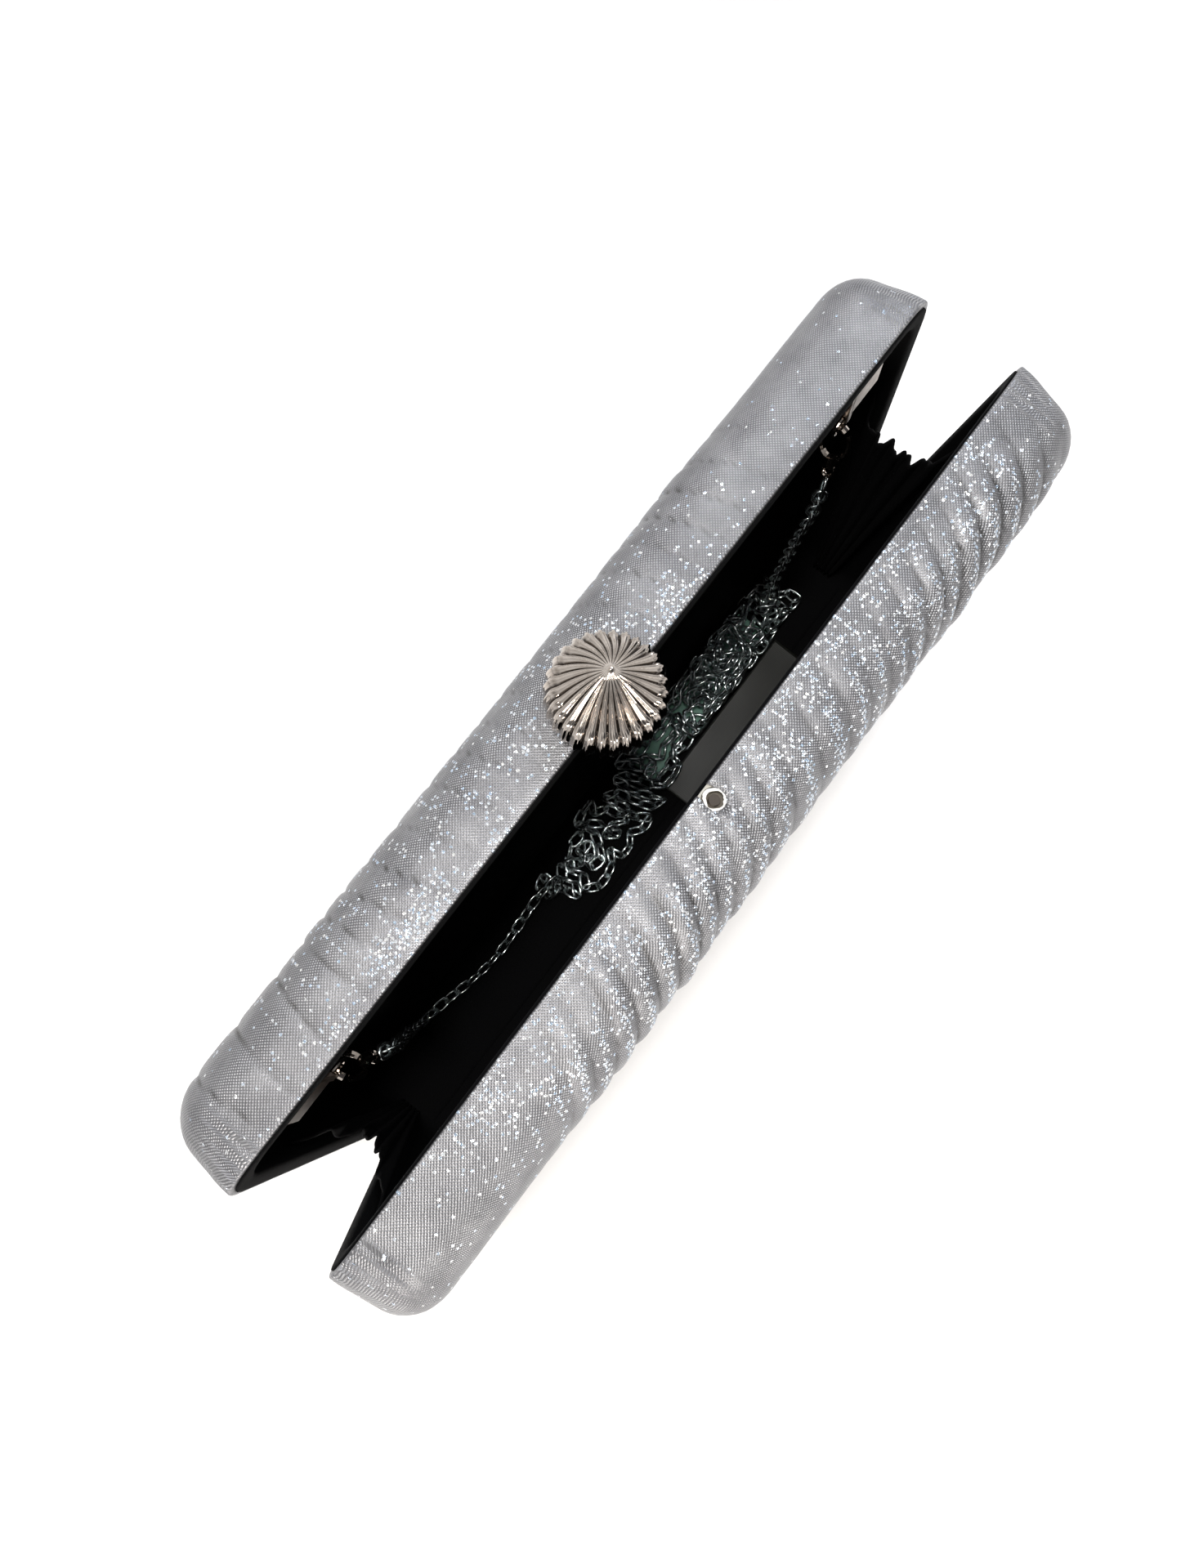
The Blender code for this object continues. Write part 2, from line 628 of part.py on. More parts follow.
def build_clasp(suffix, side):
    """A lobster clasp: claw with barrel and eye in one piece, and its sprung gate."""
    name = f"clasp_{suffix}"
    clasp = as_mesh(curve_tube(name, claw_arc(side, 62, 308, 16), CLAW_WIRE, "nickel"), "nickel")
    barrel = cylinder_mesh(
        f"{name}_barrel",
        CLASP_BARREL_RADIUS,
        clasp_point(side, 0, CLAW_WIRE / 2 + 2 * CLAW_HALF_LENGTH - 0.0004),
        clasp_point(side, 0, CLASP_EYE_ALONG - 0.0009),
        16,
    )
    combine(clasp, add_mesh(f"{name}_barrel", barrel), "UNION")
    ring = []
    for i in range(16):
        angle = 2 * math.pi * i / 16
        across = CLASP_EYE_RADIUS * math.cos(angle)
        ring.append(clasp_point(side, across, CLASP_EYE_ALONG + CLASP_EYE_RADIUS * math.sin(angle)))
    eye = as_mesh(curve_tube(f"{name}_eye", ring, CLASP_EYE_WIRE, None, cyclic=True), None)
    combine(clasp, eye, "UNION")
    as_mesh(curve_tube(f"clasp_gate_{suffix}", claw_arc(side, 45, -36, 6), GATE_WIRE, "nickel"), "nickel")


def build_link(suffix, side):
    """The small round link that joins a lug's eye and a clasp."""
    eye = lug_eye(side)
    top = in_half(BACK, eye.x, eye.y, eye.z)
    low = clasp_point(side, 0.0, 0.0021)
    up = (top - low).normalized()
    across = Vector((0.0, 1.0, 0.0)).cross(up).normalized()
    points = []
    for i in range(20):
        angle = 2 * math.pi * i / 20
        spoke = up * math.cos(angle) + across * math.sin(angle)
        points.append((top + low) / 2 + spoke * ((top - low).length / 2))
    as_mesh(curve_tube(f"link_{suffix}", points, LINK_WIRE, "nickel", cyclic=True), "nickel")


def smooth_route(points, spacing):
    """Points along a smooth curve through the route's own points, about one spacing apart."""
    route = [Vector(p) for p in points]
    ends = [route[0] * 2 - route[1]] + route + [route[-1] * 2 - route[-2]]
    out = [route[0]]
    for i in range(1, len(ends) - 2):
        p0, p1, p2, p3 = ends[i - 1 : i + 3]
        count = max(1, round((p2 - p1).length / spacing))
        for k in range(1, count + 1):
            t = k / count
            out.append(
                0.5
                * (
                    2 * p1
                    + (p2 - p0) * t
                    + (2 * p0 - 5 * p1 + 4 * p2 - p3) * t**2
                    + (3 * p1 - p0 - 3 * p2 + p3) * t**3
                )
            )
    return out


def build_chain():
    """The shoulder chain: two plain runs and the outer shape of the heap on the floor."""
    spacing = 2.5 * CHAIN_DIAMETER
    as_mesh(curve_tube("chain_run_right", smooth_route(RIGHT_RUN, spacing), CHAIN_DIAMETER, "nickel"), "nickel")
    as_mesh(curve_tube("chain_run_left", smooth_route(LEFT_RUN, spacing), CHAIN_DIAMETER, "nickel"), "nickel")
    bm = bmesh.new()
    bmesh.ops.create_uvsphere(bm, u_segments=20, v_segments=10, radius=1.0)
    half = (HEAP_HIGH - HEAP_LOW) / 2
    for vert in bm.verts:
        for axis, power in enumerate((0.55, 0.75, 0.75)):
            value = vert.co[axis]
            vert.co[axis] = math.copysign(abs(value) ** power, value) * half[axis]
    bmesh.ops.translate(bm, vec=(HEAP_LOW + HEAP_HIGH) / 2, verts=bm.verts)
    add_mesh("chain_heap", mesh_from(bm, "chain_heap"), None, "nickel")


def main():
    """Builds the whole bag."""
    bpy.context.view_layer.update()
    back = build_half(
        "back", BACK, (KNOB_X, STUD_Y, STUD_HOLE_RADIUS), ("cover", "padding", "shell", "lining")
    )
    build_half("front", FRONT, (-CATCH_X, CATCH_Y, CATCH_HOLE_RADIUS), ("cover", "padding"))
    build_leaf("back", BACK, (0, 2, 4))
    build_leaf("front", FRONT, (1, 3))
    build_pin()
    build_gusset("gusset_right", 1)
    build_gusset("gusset_left", -1)
    build_tape()
    build_label("label_back", BACK, LABEL_LOW_X, LABEL_HIGH_X, 0.0110)
    build_label("label_front", FRONT, -LABEL_HIGH_X, -LABEL_LOW_X, 0.0122)
    build_knob()
    build_catch()
    for suffix, side in (("right", 1), ("left", -1)):
        build_lug(f"lug_{suffix}", side, (back["lining"], back["shell"]))
        build_clasp(suffix, side)
        build_link(suffix, side)
    build_chain()


main()
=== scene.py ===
"""Silver box evening bag: pleated lamé covers, velvet inside, a fluted knob and a shoulder chain.

Metres, +Z up. The bag stands open on its bottom. +X runs along it and +Y is the back half's side.
"""

from __future__ import annotations

import json
import logging
import math
from dataclasses import dataclass
from enum import Enum

import bmesh
import bpy
import numpy as np
from bmesh.types import BMesh
from bpy.types import Material, Mesh, Node, NodeSocket, NodeTree, Object
from mathutils import Euler, Matrix, Vector, noise


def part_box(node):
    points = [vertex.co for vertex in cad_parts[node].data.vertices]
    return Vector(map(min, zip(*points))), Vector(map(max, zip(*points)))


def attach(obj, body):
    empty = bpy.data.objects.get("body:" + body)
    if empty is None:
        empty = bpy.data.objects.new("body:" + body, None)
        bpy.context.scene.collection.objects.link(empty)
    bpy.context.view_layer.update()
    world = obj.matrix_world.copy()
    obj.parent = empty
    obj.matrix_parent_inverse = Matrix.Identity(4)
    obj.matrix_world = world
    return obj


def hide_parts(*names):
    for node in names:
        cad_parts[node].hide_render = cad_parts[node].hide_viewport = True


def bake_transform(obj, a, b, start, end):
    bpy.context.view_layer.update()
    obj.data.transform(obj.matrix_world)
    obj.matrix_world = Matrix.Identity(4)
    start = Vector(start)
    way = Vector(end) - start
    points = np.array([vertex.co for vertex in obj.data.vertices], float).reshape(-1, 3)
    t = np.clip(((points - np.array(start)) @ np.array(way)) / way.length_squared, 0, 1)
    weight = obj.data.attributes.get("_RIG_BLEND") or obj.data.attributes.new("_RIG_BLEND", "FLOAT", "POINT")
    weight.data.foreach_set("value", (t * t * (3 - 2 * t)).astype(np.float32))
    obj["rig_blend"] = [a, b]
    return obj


LOG = logging.getLogger("evening_bag")
MM = 0.001
Triple = tuple[float, float, float]
HALF_OPENING = math.radians(5.0)
GRAVITY = 9.81
WELD, NEAR = 0.002 * MM, 0.01 * MM
# A colour Mix node's two colour sockets, and the scale at which a Wave texture has one band to the metre.
TONE_A, TONE_B, WAVE = 6, 7, 0.314159
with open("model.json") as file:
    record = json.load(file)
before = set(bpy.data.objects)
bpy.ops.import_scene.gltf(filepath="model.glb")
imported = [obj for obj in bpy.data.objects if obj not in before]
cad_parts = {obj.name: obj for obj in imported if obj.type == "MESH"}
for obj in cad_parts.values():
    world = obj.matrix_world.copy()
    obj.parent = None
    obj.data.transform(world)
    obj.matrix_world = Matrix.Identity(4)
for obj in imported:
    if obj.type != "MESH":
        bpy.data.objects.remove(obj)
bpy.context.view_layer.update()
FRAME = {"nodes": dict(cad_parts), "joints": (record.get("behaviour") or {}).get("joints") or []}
AXIS_HEIGHT = float(next(j for j in FRAME["joints"] if j["name"] == "main_hinge")["pos_m"][2])


class Half(Enum):
    """The two hinged halves of the bag."""

    BACK = "back"
    FRONT = "front"

    @property
    def body(self) -> str:
        """The name of the half's moving body."""
        return f"{self.value}_half"

    @property
    def facing(self) -> float:
        """+1 where the half's own x runs with the bag's, -1 where it runs against it."""
        return 1.0 if self is Half.BACK else -1.0

    def place(self) -> Matrix:
        """Works out the half's own frame, on the hinge axis.

        Returns:
            The frame, with y outward from the mouth and z up the wall.
        """
        turn = 0.0 if self is Half.BACK else math.pi
        tilt = Euler((-HALF_OPENING, 0.0, turn)).to_matrix().to_4x4()
        return Matrix.Translation((0.0, 0.0, AXIS_HEIGHT)) @ tilt

    def box(self, node: str) -> tuple[Vector, Vector]:
        """Measures a node in the half's own frame.

        Args:
            node: The CAD node's name.

        Returns:
            Its lowest and highest corners.
        """
        back = self.place().inverted()
        points = [back @ v.co for v in FRAME["nodes"][node].data.vertices]
        low = Vector([min(p[i] for p in points) for i in range(3)])
        return low, Vector([max(p[i] for p in points) for i in range(3)])


def linear(colour: str) -> tuple[float, float, float, float]:
    """Turns an sRGB hex colour to linear RGBA.

    Args:
        colour: The colour as #rrggbb.

    Returns:
        Red, green, blue and an alpha of 1.
    """
    channels = [int(colour[i : i + 2], 16) / 255 for i in (1, 3, 5)]
    return (*[c / 12.92 if c <= 0.04045 else ((c + 0.055) / 1.055) ** 2.4 for c in channels], 1.0)


def set_node(tree: NodeTree, node: Node, settings: dict, links: dict | None = None) -> None:
    """Sets a node's values and feeds its sockets.

    Args:
        tree: The node's tree.
        node: The node.
        settings: Its properties and its sockets' values, with hex colours turned to linear.
        links: What feeds each socket: an output, or a node that stands for its first output in use.
    """
    for key, value in settings.items():
        value = linear(value) if str(value).startswith("#") else value
        if isinstance(key, int) or key in node.inputs:
            node.inputs[key].default_value = value
        else:
            setattr(node, key, value)
    for key, source in (links or {}).items():
        output = source if isinstance(source, NodeSocket) else next(o for o in source.outputs if o.enabled)
        tree.links.new(output, node.inputs[key])


def add_node(tree: NodeTree, kind: str, settings: dict | None = None, links: dict | None = None) -> Node:
    """Adds a shader node.

    Args:
        tree: The material's or the world's node tree.
        kind: The node's type, without its ShaderNode.
        settings: Its properties and its sockets' values.
        links: What feeds each socket.

    Returns:
        The new node.
    """
    made = tree.nodes.new(f"ShaderNode{kind}")
    set_node(tree, made, settings or {}, links)
    return made


def smooth_step(low: float, high: float, value: float) -> float:
    """A soft ramp from 0 at low to 1 at high."""
    share = min(max((value - low) / (high - low), 0.0), 1.0)
    return share * share * (3.0 - 2.0 * share)


def finish_piece(name: str, bm: BMesh, material: Material, place: Matrix | None = None) -> Object:
    """Makes a piece's object from its bmesh, with its place kept in the mesh.

    Args:
        name: The piece's name.
        bm: The shape, which is freed.
        material: Its finish.
        place: The frame that the shape was made in, if not the bag's.

    Returns:
        The linked object.
    """
    if place is not None:
        bmesh.ops.transform(bm, matrix=place, verts=bm.verts)
    mesh = bpy.data.meshes.new(name)
    bm.to_mesh(mesh)
    bm.free()
    mesh.shade_smooth()
    mesh.materials.append(material)
    made = bpy.data.objects.new(name, mesh)
    bpy.context.scene.collection.objects.link(made)
    LOG.info("%s: %d faces", name, len(mesh.polygons))
    return made


def give_wall(piece: Object, thickness: float, offset: float = -1.0) -> None:
    """Gives a sheet its thickness: inwards at an offset of -1, evenly at 0."""
    wall = piece.modifiers.new("wall", "SOLIDIFY")
    wall.thickness, wall.offset = thickness, offset


def spun_ring(radius: float, segments: int, place: Matrix, axis: tuple[int, int, int], steps: int) -> BMesh:
    """Spins a round section to a closed ring.

    Args:
        radius: The section's radius.
        segments: How many sides it has.
        place: Where the section stands, seen from the ring's middle.
        axis: The axis that it is spun about.
        steps: How many sections the ring has.

    Returns:
        The ring.
    """
    bm = bmesh.new()
    section = bmesh.ops.create_circle(bm, segments=segments, radius=radius, matrix=place)["verts"]
    geom = section + list({e for v in section for e in v.link_edges})
    bmesh.ops.spin(bm, geom=geom, cent=(0, 0, 0), axis=axis, angle=2 * math.pi, steps=steps, use_merge=True)
    bmesh.ops.remove_doubles(bm, verts=bm.verts, dist=WELD)
    return bm


# ---- finishes ----
@dataclass(frozen=True)
class Finish:
    """A surface finish, made once as a node material."""

    name: str

    def material(self) -> Material:
        """Builds the finish's material the first time.

        Returns:
            The material.
        """
        found = bpy.data.materials.get(self.name)
        if found:
            return found
        made = bpy.data.materials.new(self.name)
        made.use_nodes = True
        self.dress(made.node_tree, made.node_tree.nodes["Principled BSDF"])
        return made

    def dress(self, tree: NodeTree, shader: Node) -> None:
        """Fills in the nodes around the shader."""
        raise NotImplementedError

    @staticmethod
    def lay(tree: NodeTree, shader: Node, tones: tuple, mask: Node, relief: Node, depth: tuple, rest: dict) -> Node:
        """Mixes two tones by a mask and raises a relief.

        Args:
            tree: The material's nodes.
            shader: Its shader.
            tones: The two colours as #rrggbb.
            mask: 0 for the first tone, 1 for the second.
            relief: The relief's height.
            depth: The relief's strength and its distance.
            rest: The shader's own values.

        Returns:
            The mixed colour.
        """
        colour = add_node(tree, "Mix", {"data_type": "RGBA", TONE_A: tones[0], TONE_B: tones[1]}, {0: mask})
        bump = add_node(tree, "Bump", {"Strength": depth[0], "Distance": depth[1]}, {"Height": relief})
        set_node(tree, shader, rest, {"Base Color": colour, "Normal": bump})
        return colour


@dataclass(frozen=True)
class SilverLame(Finish):
    """Lamé woven from metal-coated yarn: a soft grey metal, painted shade in its creases, and shiny flecks with
    painted highlight colour.
    """

    name: str = "silver_lame"
    dark_yarn: str = "#5b5b5f"
    light_yarn: str = "#b4b4b6"
    # A darker yarn colour, painted shade for the fold valleys.
    painted_crease_shade: str = "#4b4947"
    # The two fleck colours are painted highlight.
    fleck: str = "#ffffff"
    blue_fleck: str = "#c6daf0"
    # The yarn is 0.2 mm wide. It is drawn at more than twice that, so that the weave still shows.
    thread: float = 0.48 * MM
    slant: float = math.radians(38)
    fleck_size: float = 0.74 * MM
    fleck_lean: float = 0.60
    patch: float = 9.0 * MM
    # The size of the random patches that crowd the painted highlight flecks.
    highlight_patch: float = 3.2 * MM

    def dress(self, tree: NodeTree, shader: Node) -> None:
        """Diagonal weave, cloudy yarn, painted shade in the creases, and painted highlight flecks crowded by the
        glint map and in random patches.

        Args:
            tree: The material's nodes.
            shader: Its shader.
        """
        cloth = add_node(tree, "UVMap", {"uv_map": "cloth"})
        glint = add_node(tree, "Attribute", {"attribute_name": "glint"}).outputs["Fac"]
        crease_shade = add_node(tree, "Attribute", {"attribute_name": "crease_shade"}).outputs["Fac"]
        weave = self.weave(tree, cloth)
        cloudy = {"Scale": 1 / self.patch, "Detail": 5.0, "Roughness": 0.66}
        clouds = add_node(tree, "TexNoise", cloudy, {"Vector": cloth})
        grid = {"voronoi_dimensions": "2D", "Scale": 1 / self.fleck_size, "Randomness": 0.75}
        cells = add_node(tree, "TexVoronoi", grid, {"Vector": cloth})
        chance = add_node(tree, "SeparateColor", {}, {"Color": cells.outputs["Color"]})
        flecks = self.flecks(tree, cloth, glint, cells, chance)
        bump = self.relief(tree, weave, flecks, cells)

        tone = add_node(tree, "Math", {"operation": "MULTIPLY_ADD", 1: 0.95, 2: -0.22}, {0: weave})
        tone = add_node(tree, "Math", {"operation": "MULTIPLY_ADD", 1: 0.95}, {0: clouds, 2: tone})
        yarns = {"data_type": "RGBA", TONE_A: self.dark_yarn, TONE_B: self.light_yarn}
        yarn = add_node(tree, "Mix", yarns, {0: tone})
        # Painted shade: a darker yarn colour is mixed in along the fold valleys.
        yarn = add_node(tree, "Mix", {"data_type": "RGBA", TONE_B: self.painted_crease_shade}, {0: crease_shade, TONE_A: yarn})
        # Painted highlight: white and pale blue flecks are mixed into the colour; their leaned normals and lower
        # roughness are real shine.
        lights = {"data_type": "RGBA", TONE_A: self.fleck, TONE_B: self.blue_fleck}
        sparkle = add_node(tree, "Mix", lights, {0: chance.outputs["Blue"]})
        colour = add_node(tree, "Mix", {"data_type": "RGBA"}, {0: flecks, TONE_A: yarn, TONE_B: sparkle})
        rough = add_node(tree, "MapRange", {"To Min": 0.40, "To Max": 0.18}, {"Value": flecks})
        set_node(tree, shader, {"Metallic": 0.88}, {"Base Color": colour, "Roughness": rough, "Normal": bump})

    def weave(self, tree: NodeTree, cloth: Node) -> Node:
        """Crosses two diagonal sets of yarns.

        Args:
            tree: The material's nodes.
            cloth: The cloth's own flat coordinates.

        Returns:
            The weave's height, from 0 to 1.
        """
        turned = add_node(tree, "Mapping", {"Rotation": (0.0, 0.0, self.slant)}, {"Vector": cloth})
        yarns = {"Scale": WAVE / self.thread, "Distortion": 1.1, "Detail": 1.0}
        waves = [
            add_node(tree, "TexWave", {"bands_direction": way, **yarns}, {"Vector": turned}).outputs["Fac"]
            for way in ("X", "Y")
        ]
        return add_node(tree, "Math", {"operation": "MULTIPLY"}, {0: waves[0], 1: waves[1]})

    def flecks(self, tree: NodeTree, cloth: Node, glint: NodeSocket, cells: Node, chance: Node) -> Node:
        """Picks the cells that get a painted highlight fleck, crowded by the glint map and by random patches.

        Args:
            tree: The material's nodes.
            cloth: The cloth's own flat coordinates.
            glint: How crowded the painted highlight flecks are, from 0 to 1.
            cells: The yarn floats.
            chance: Their random values.

        Returns:
            1 on a fleck, 0 between.
        """
        patchy = {"Scale": 1 / self.highlight_patch, "Detail": 3.0, "Roughness": 0.6}
        spread = add_node(tree, "TexNoise", patchy, {"Vector": cloth})
        crowd = add_node(tree, "Math", {"operation": "MULTIPLY_ADD", 1: 1.15, 2: -0.62}, {0: spread})
        crowd = add_node(tree, "Math", {"operation": "ADD", "use_clamp": True}, {0: crowd, 1: glint})
        crowd = add_node(tree, "Math", {"operation": "MULTIPLY"}, {0: crowd, 1: glint})
        picked = add_node(tree, "Math", {"operation": "LESS_THAN"}, {0: chance, 1: crowd})
        round_spot = {"From Min": 0.42, "From Max": 0.33, "To Min": 0.0, "To Max": 1.0}
        spot = add_node(tree, "MapRange", round_spot, {"Value": cells})
        return add_node(tree, "Math", {"operation": "MULTIPLY"}, {0: spot, 1: picked})

    def relief(self, tree: NodeTree, weave: Node, flecks: Node, cells: Node) -> Node:
        """Leans each fleck its own way over the weave's relief.

        Args:
            tree: The material's nodes.
            weave: The weave's height.
            flecks: Where the flecks are.
            cells: The yarn floats.

        Returns:
            The surface's normal.
        """
        halves = {"operation": "SUBTRACT", 1: (0.5, 0.5, 0.5)}
        lean = add_node(tree, "VectorMath", halves, {0: cells.outputs["Color"]})
        reach = add_node(tree, "Math", {"operation": "MULTIPLY", 1: self.fleck_lean}, {0: flecks})
        lean = add_node(tree, "VectorMath", {"operation": "SCALE"}, {0: lean, "Scale": reach})
        facing = add_node(tree, "NewGeometry").outputs["Normal"]
        tilted = add_node(tree, "VectorMath", {"operation": "ADD"}, {0: facing, 1: lean})
        tilted = add_node(tree, "VectorMath", {"operation": "NORMALIZE"}, {0: tilted})
        depth = {"Strength": 0.75, "Distance": 0.12 * MM}
        return add_node(tree, "Bump", depth, {"Height": weave, "Normal": tilted})


@dataclass(frozen=True)
class Pile(Finish):
    """Velvet or another short pile: nearly no light comes back, apart from a faint rim of sheen."""

    name: str = "black_velvet"
    ground: str = "#020203"
    lit: str = "#070708"
    tint: str = "#4a4a52"
    sheen: float = 0.015
    pile: float = 0.5 * MM
    brushed: float = 14 * MM

    def dress(self, tree: NodeTree, shader: Node) -> None:
        """Brushed patches in the pile over a fine fuzz.

        Args:
            tree: The material's nodes.
            shader: Its shader.
        """
        place = add_node(tree, "TexCoord").outputs["Object"]
        patches = add_node(tree, "TexNoise", {"Scale": 1 / self.brushed, "Detail": 3.0}, {"Vector": place})
        fuzz = add_node(tree, "TexNoise", {"Scale": 1 / self.pile, "Detail": 2.0}, {"Vector": place})
        sheen = {"Sheen Weight": self.sheen, "Sheen Roughness": 0.45, "Sheen Tint": self.tint}
        rest = {"Roughness": 0.95, "Specular IOR Level": 0.15, **sheen}
        self.lay(tree, shader, (self.ground, self.lit), patches, fuzz, (0.6, 0.2 * MM), rest)


@dataclass(frozen=True)
class Plated(Finish):
    """Plated metal: a cast or drawn piece with a thin bright coat, darkened in its hollows by painted shade."""

    name: str = "bright_nickel"
    colour: str = "#d6cdc4"
    worn: str = "#b3a69b"
    # A dark colour, painted shade for the grooves.
    painted_groove_shade: str = "#2e2621"
    rough: float = 0.10
    grain: float = 0.35 * MM
    mark: float = 3 * MM

    def dress(self, tree: NodeTree, shader: Node) -> None:
        """Fine handling marks in the roughness, a slight unevenness in the plate, and painted shade in the hollows.

        Args:
            tree: The material's nodes.
            shader: Its shader.
        """
        place = add_node(tree, "TexCoord").outputs["Object"]
        handling = {"Scale": 1 / self.mark, "Detail": 5.0, "Roughness": 0.65}
        marks = add_node(tree, "TexNoise", handling, {"Vector": place})
        fine = add_node(tree, "TexNoise", {"Scale": 1 / self.grain, "Detail": 2.0}, {"Vector": place})
        plate = self.lay(tree, shader, (self.colour, self.worn), marks, fine, (0.12, 0.03 * MM), {"Metallic": 1.0})
        groove_shade = add_node(tree, "Attribute", {"attribute_name": "groove_shade"}).outputs["Fac"]
        # Painted shade: a dark colour mixed into the knob's grooves and rib hollows, standing in for shade and dark
        # reflections there.
        colour = add_node(tree, "Mix", {"data_type": "RGBA", TONE_B: self.painted_groove_shade}, {0: groove_shade, TONE_A: plate})
        span = {"To Min": self.rough * 0.6, "To Max": self.rough * 1.7}
        rough = add_node(tree, "MapRange", span, {"Value": marks})
        set_node(tree, shader, {}, {"Base Color": colour, "Roughness": rough})


@dataclass(frozen=True)
class Satin(Finish):
    """Woven satin ribbon: long smooth floats along it, so a soft streak of light and a fine cross rib."""

    name: str = "mint_satin"
    colour: str = "#78a694"
    shade: str = "#5b8375"
    rib: float = 0.5 * MM
    cloud: float = 6 * MM

    def dress(self, tree: NodeTree, shader: Node) -> None:
        """A rib across the ribbon with slightly cloudy dye.

        Args:
            tree: The material's nodes.
            shader: Its shader.
        """
        place = add_node(tree, "TexCoord").outputs["Object"]
        across = {"bands_direction": "X", "Scale": WAVE / self.rib, "Distortion": 0.4}
        ribs = add_node(tree, "TexWave", across, {"Vector": place}).outputs["Fac"]
        dye = add_node(tree, "TexNoise", {"Scale": 1 / self.cloud, "Detail": 3.0}, {"Vector": place})
        self.lay(tree, shader, (self.shade, self.colour), dye, ribs, (0.35, 0.05 * MM), {"Roughness": 0.42})


@dataclass(frozen=True)
class Fibre(Finish):
    """Foam, board or fused interfacing: matt fibres or cells with an even mottle."""

    name: str = "interfacing"
    colour: str = "#e4e2dc"
    shade: str = "#bdbab2"
    fibre: float = 0.3 * MM

    def dress(self, tree: NodeTree, shader: Node) -> None:
        """Mottled fibres with a shallow relief.

        Args:
            tree: The material's nodes.
            shader: Its shader.
        """
        place = add_node(tree, "TexCoord").outputs["Object"]
        mottle = add_node(tree, "TexNoise", {"Scale": 1 / self.fibre, "Detail": 3.0}, {"Vector": place})
        self.lay(tree, shader, (self.shade, self.colour), mottle, mottle, (0.5, 0.1 * MM), {"Roughness": 0.9})


LAME = SilverLame()
VELVET = Pile()
NICKEL = Plated()
CAST_NICKEL = Plated("cast_nickel", "#e2dad2", "#b9ada2", rough=0.07)
LUG_NICKEL = Plated("dulled_nickel", "#a0948a", "#7b7066", rough=0.30)
CHAIN_METAL = Plated("chain_steel", "#eef4f4", "#c4cfd0", rough=0.20)
HINGE_STEEL = Plated("hinge_steel", "#9fa0a2", "#7d7e80", rough=0.28)
MAGNET = Plated("magnet_coat", "#55565a", "#3e3f43", rough=0.35)
MINT_SATIN = Satin()
# Painted shade: the front leaf of the mint label, coloured much darker for the shade of the front half's wall.
SHADED_LABEL_SATIN = Satin("shaded_label_satin", "#1d1e1a", "#151613")
INTERFACING = Fibre()
FOAM = Fibre("padding_foam", "#d9d7cf", "#c3c0b6", 0.6 * MM)
BOARD = Fibre("grey_board", "#8a8379", "#6f685f", 0.8 * MM)


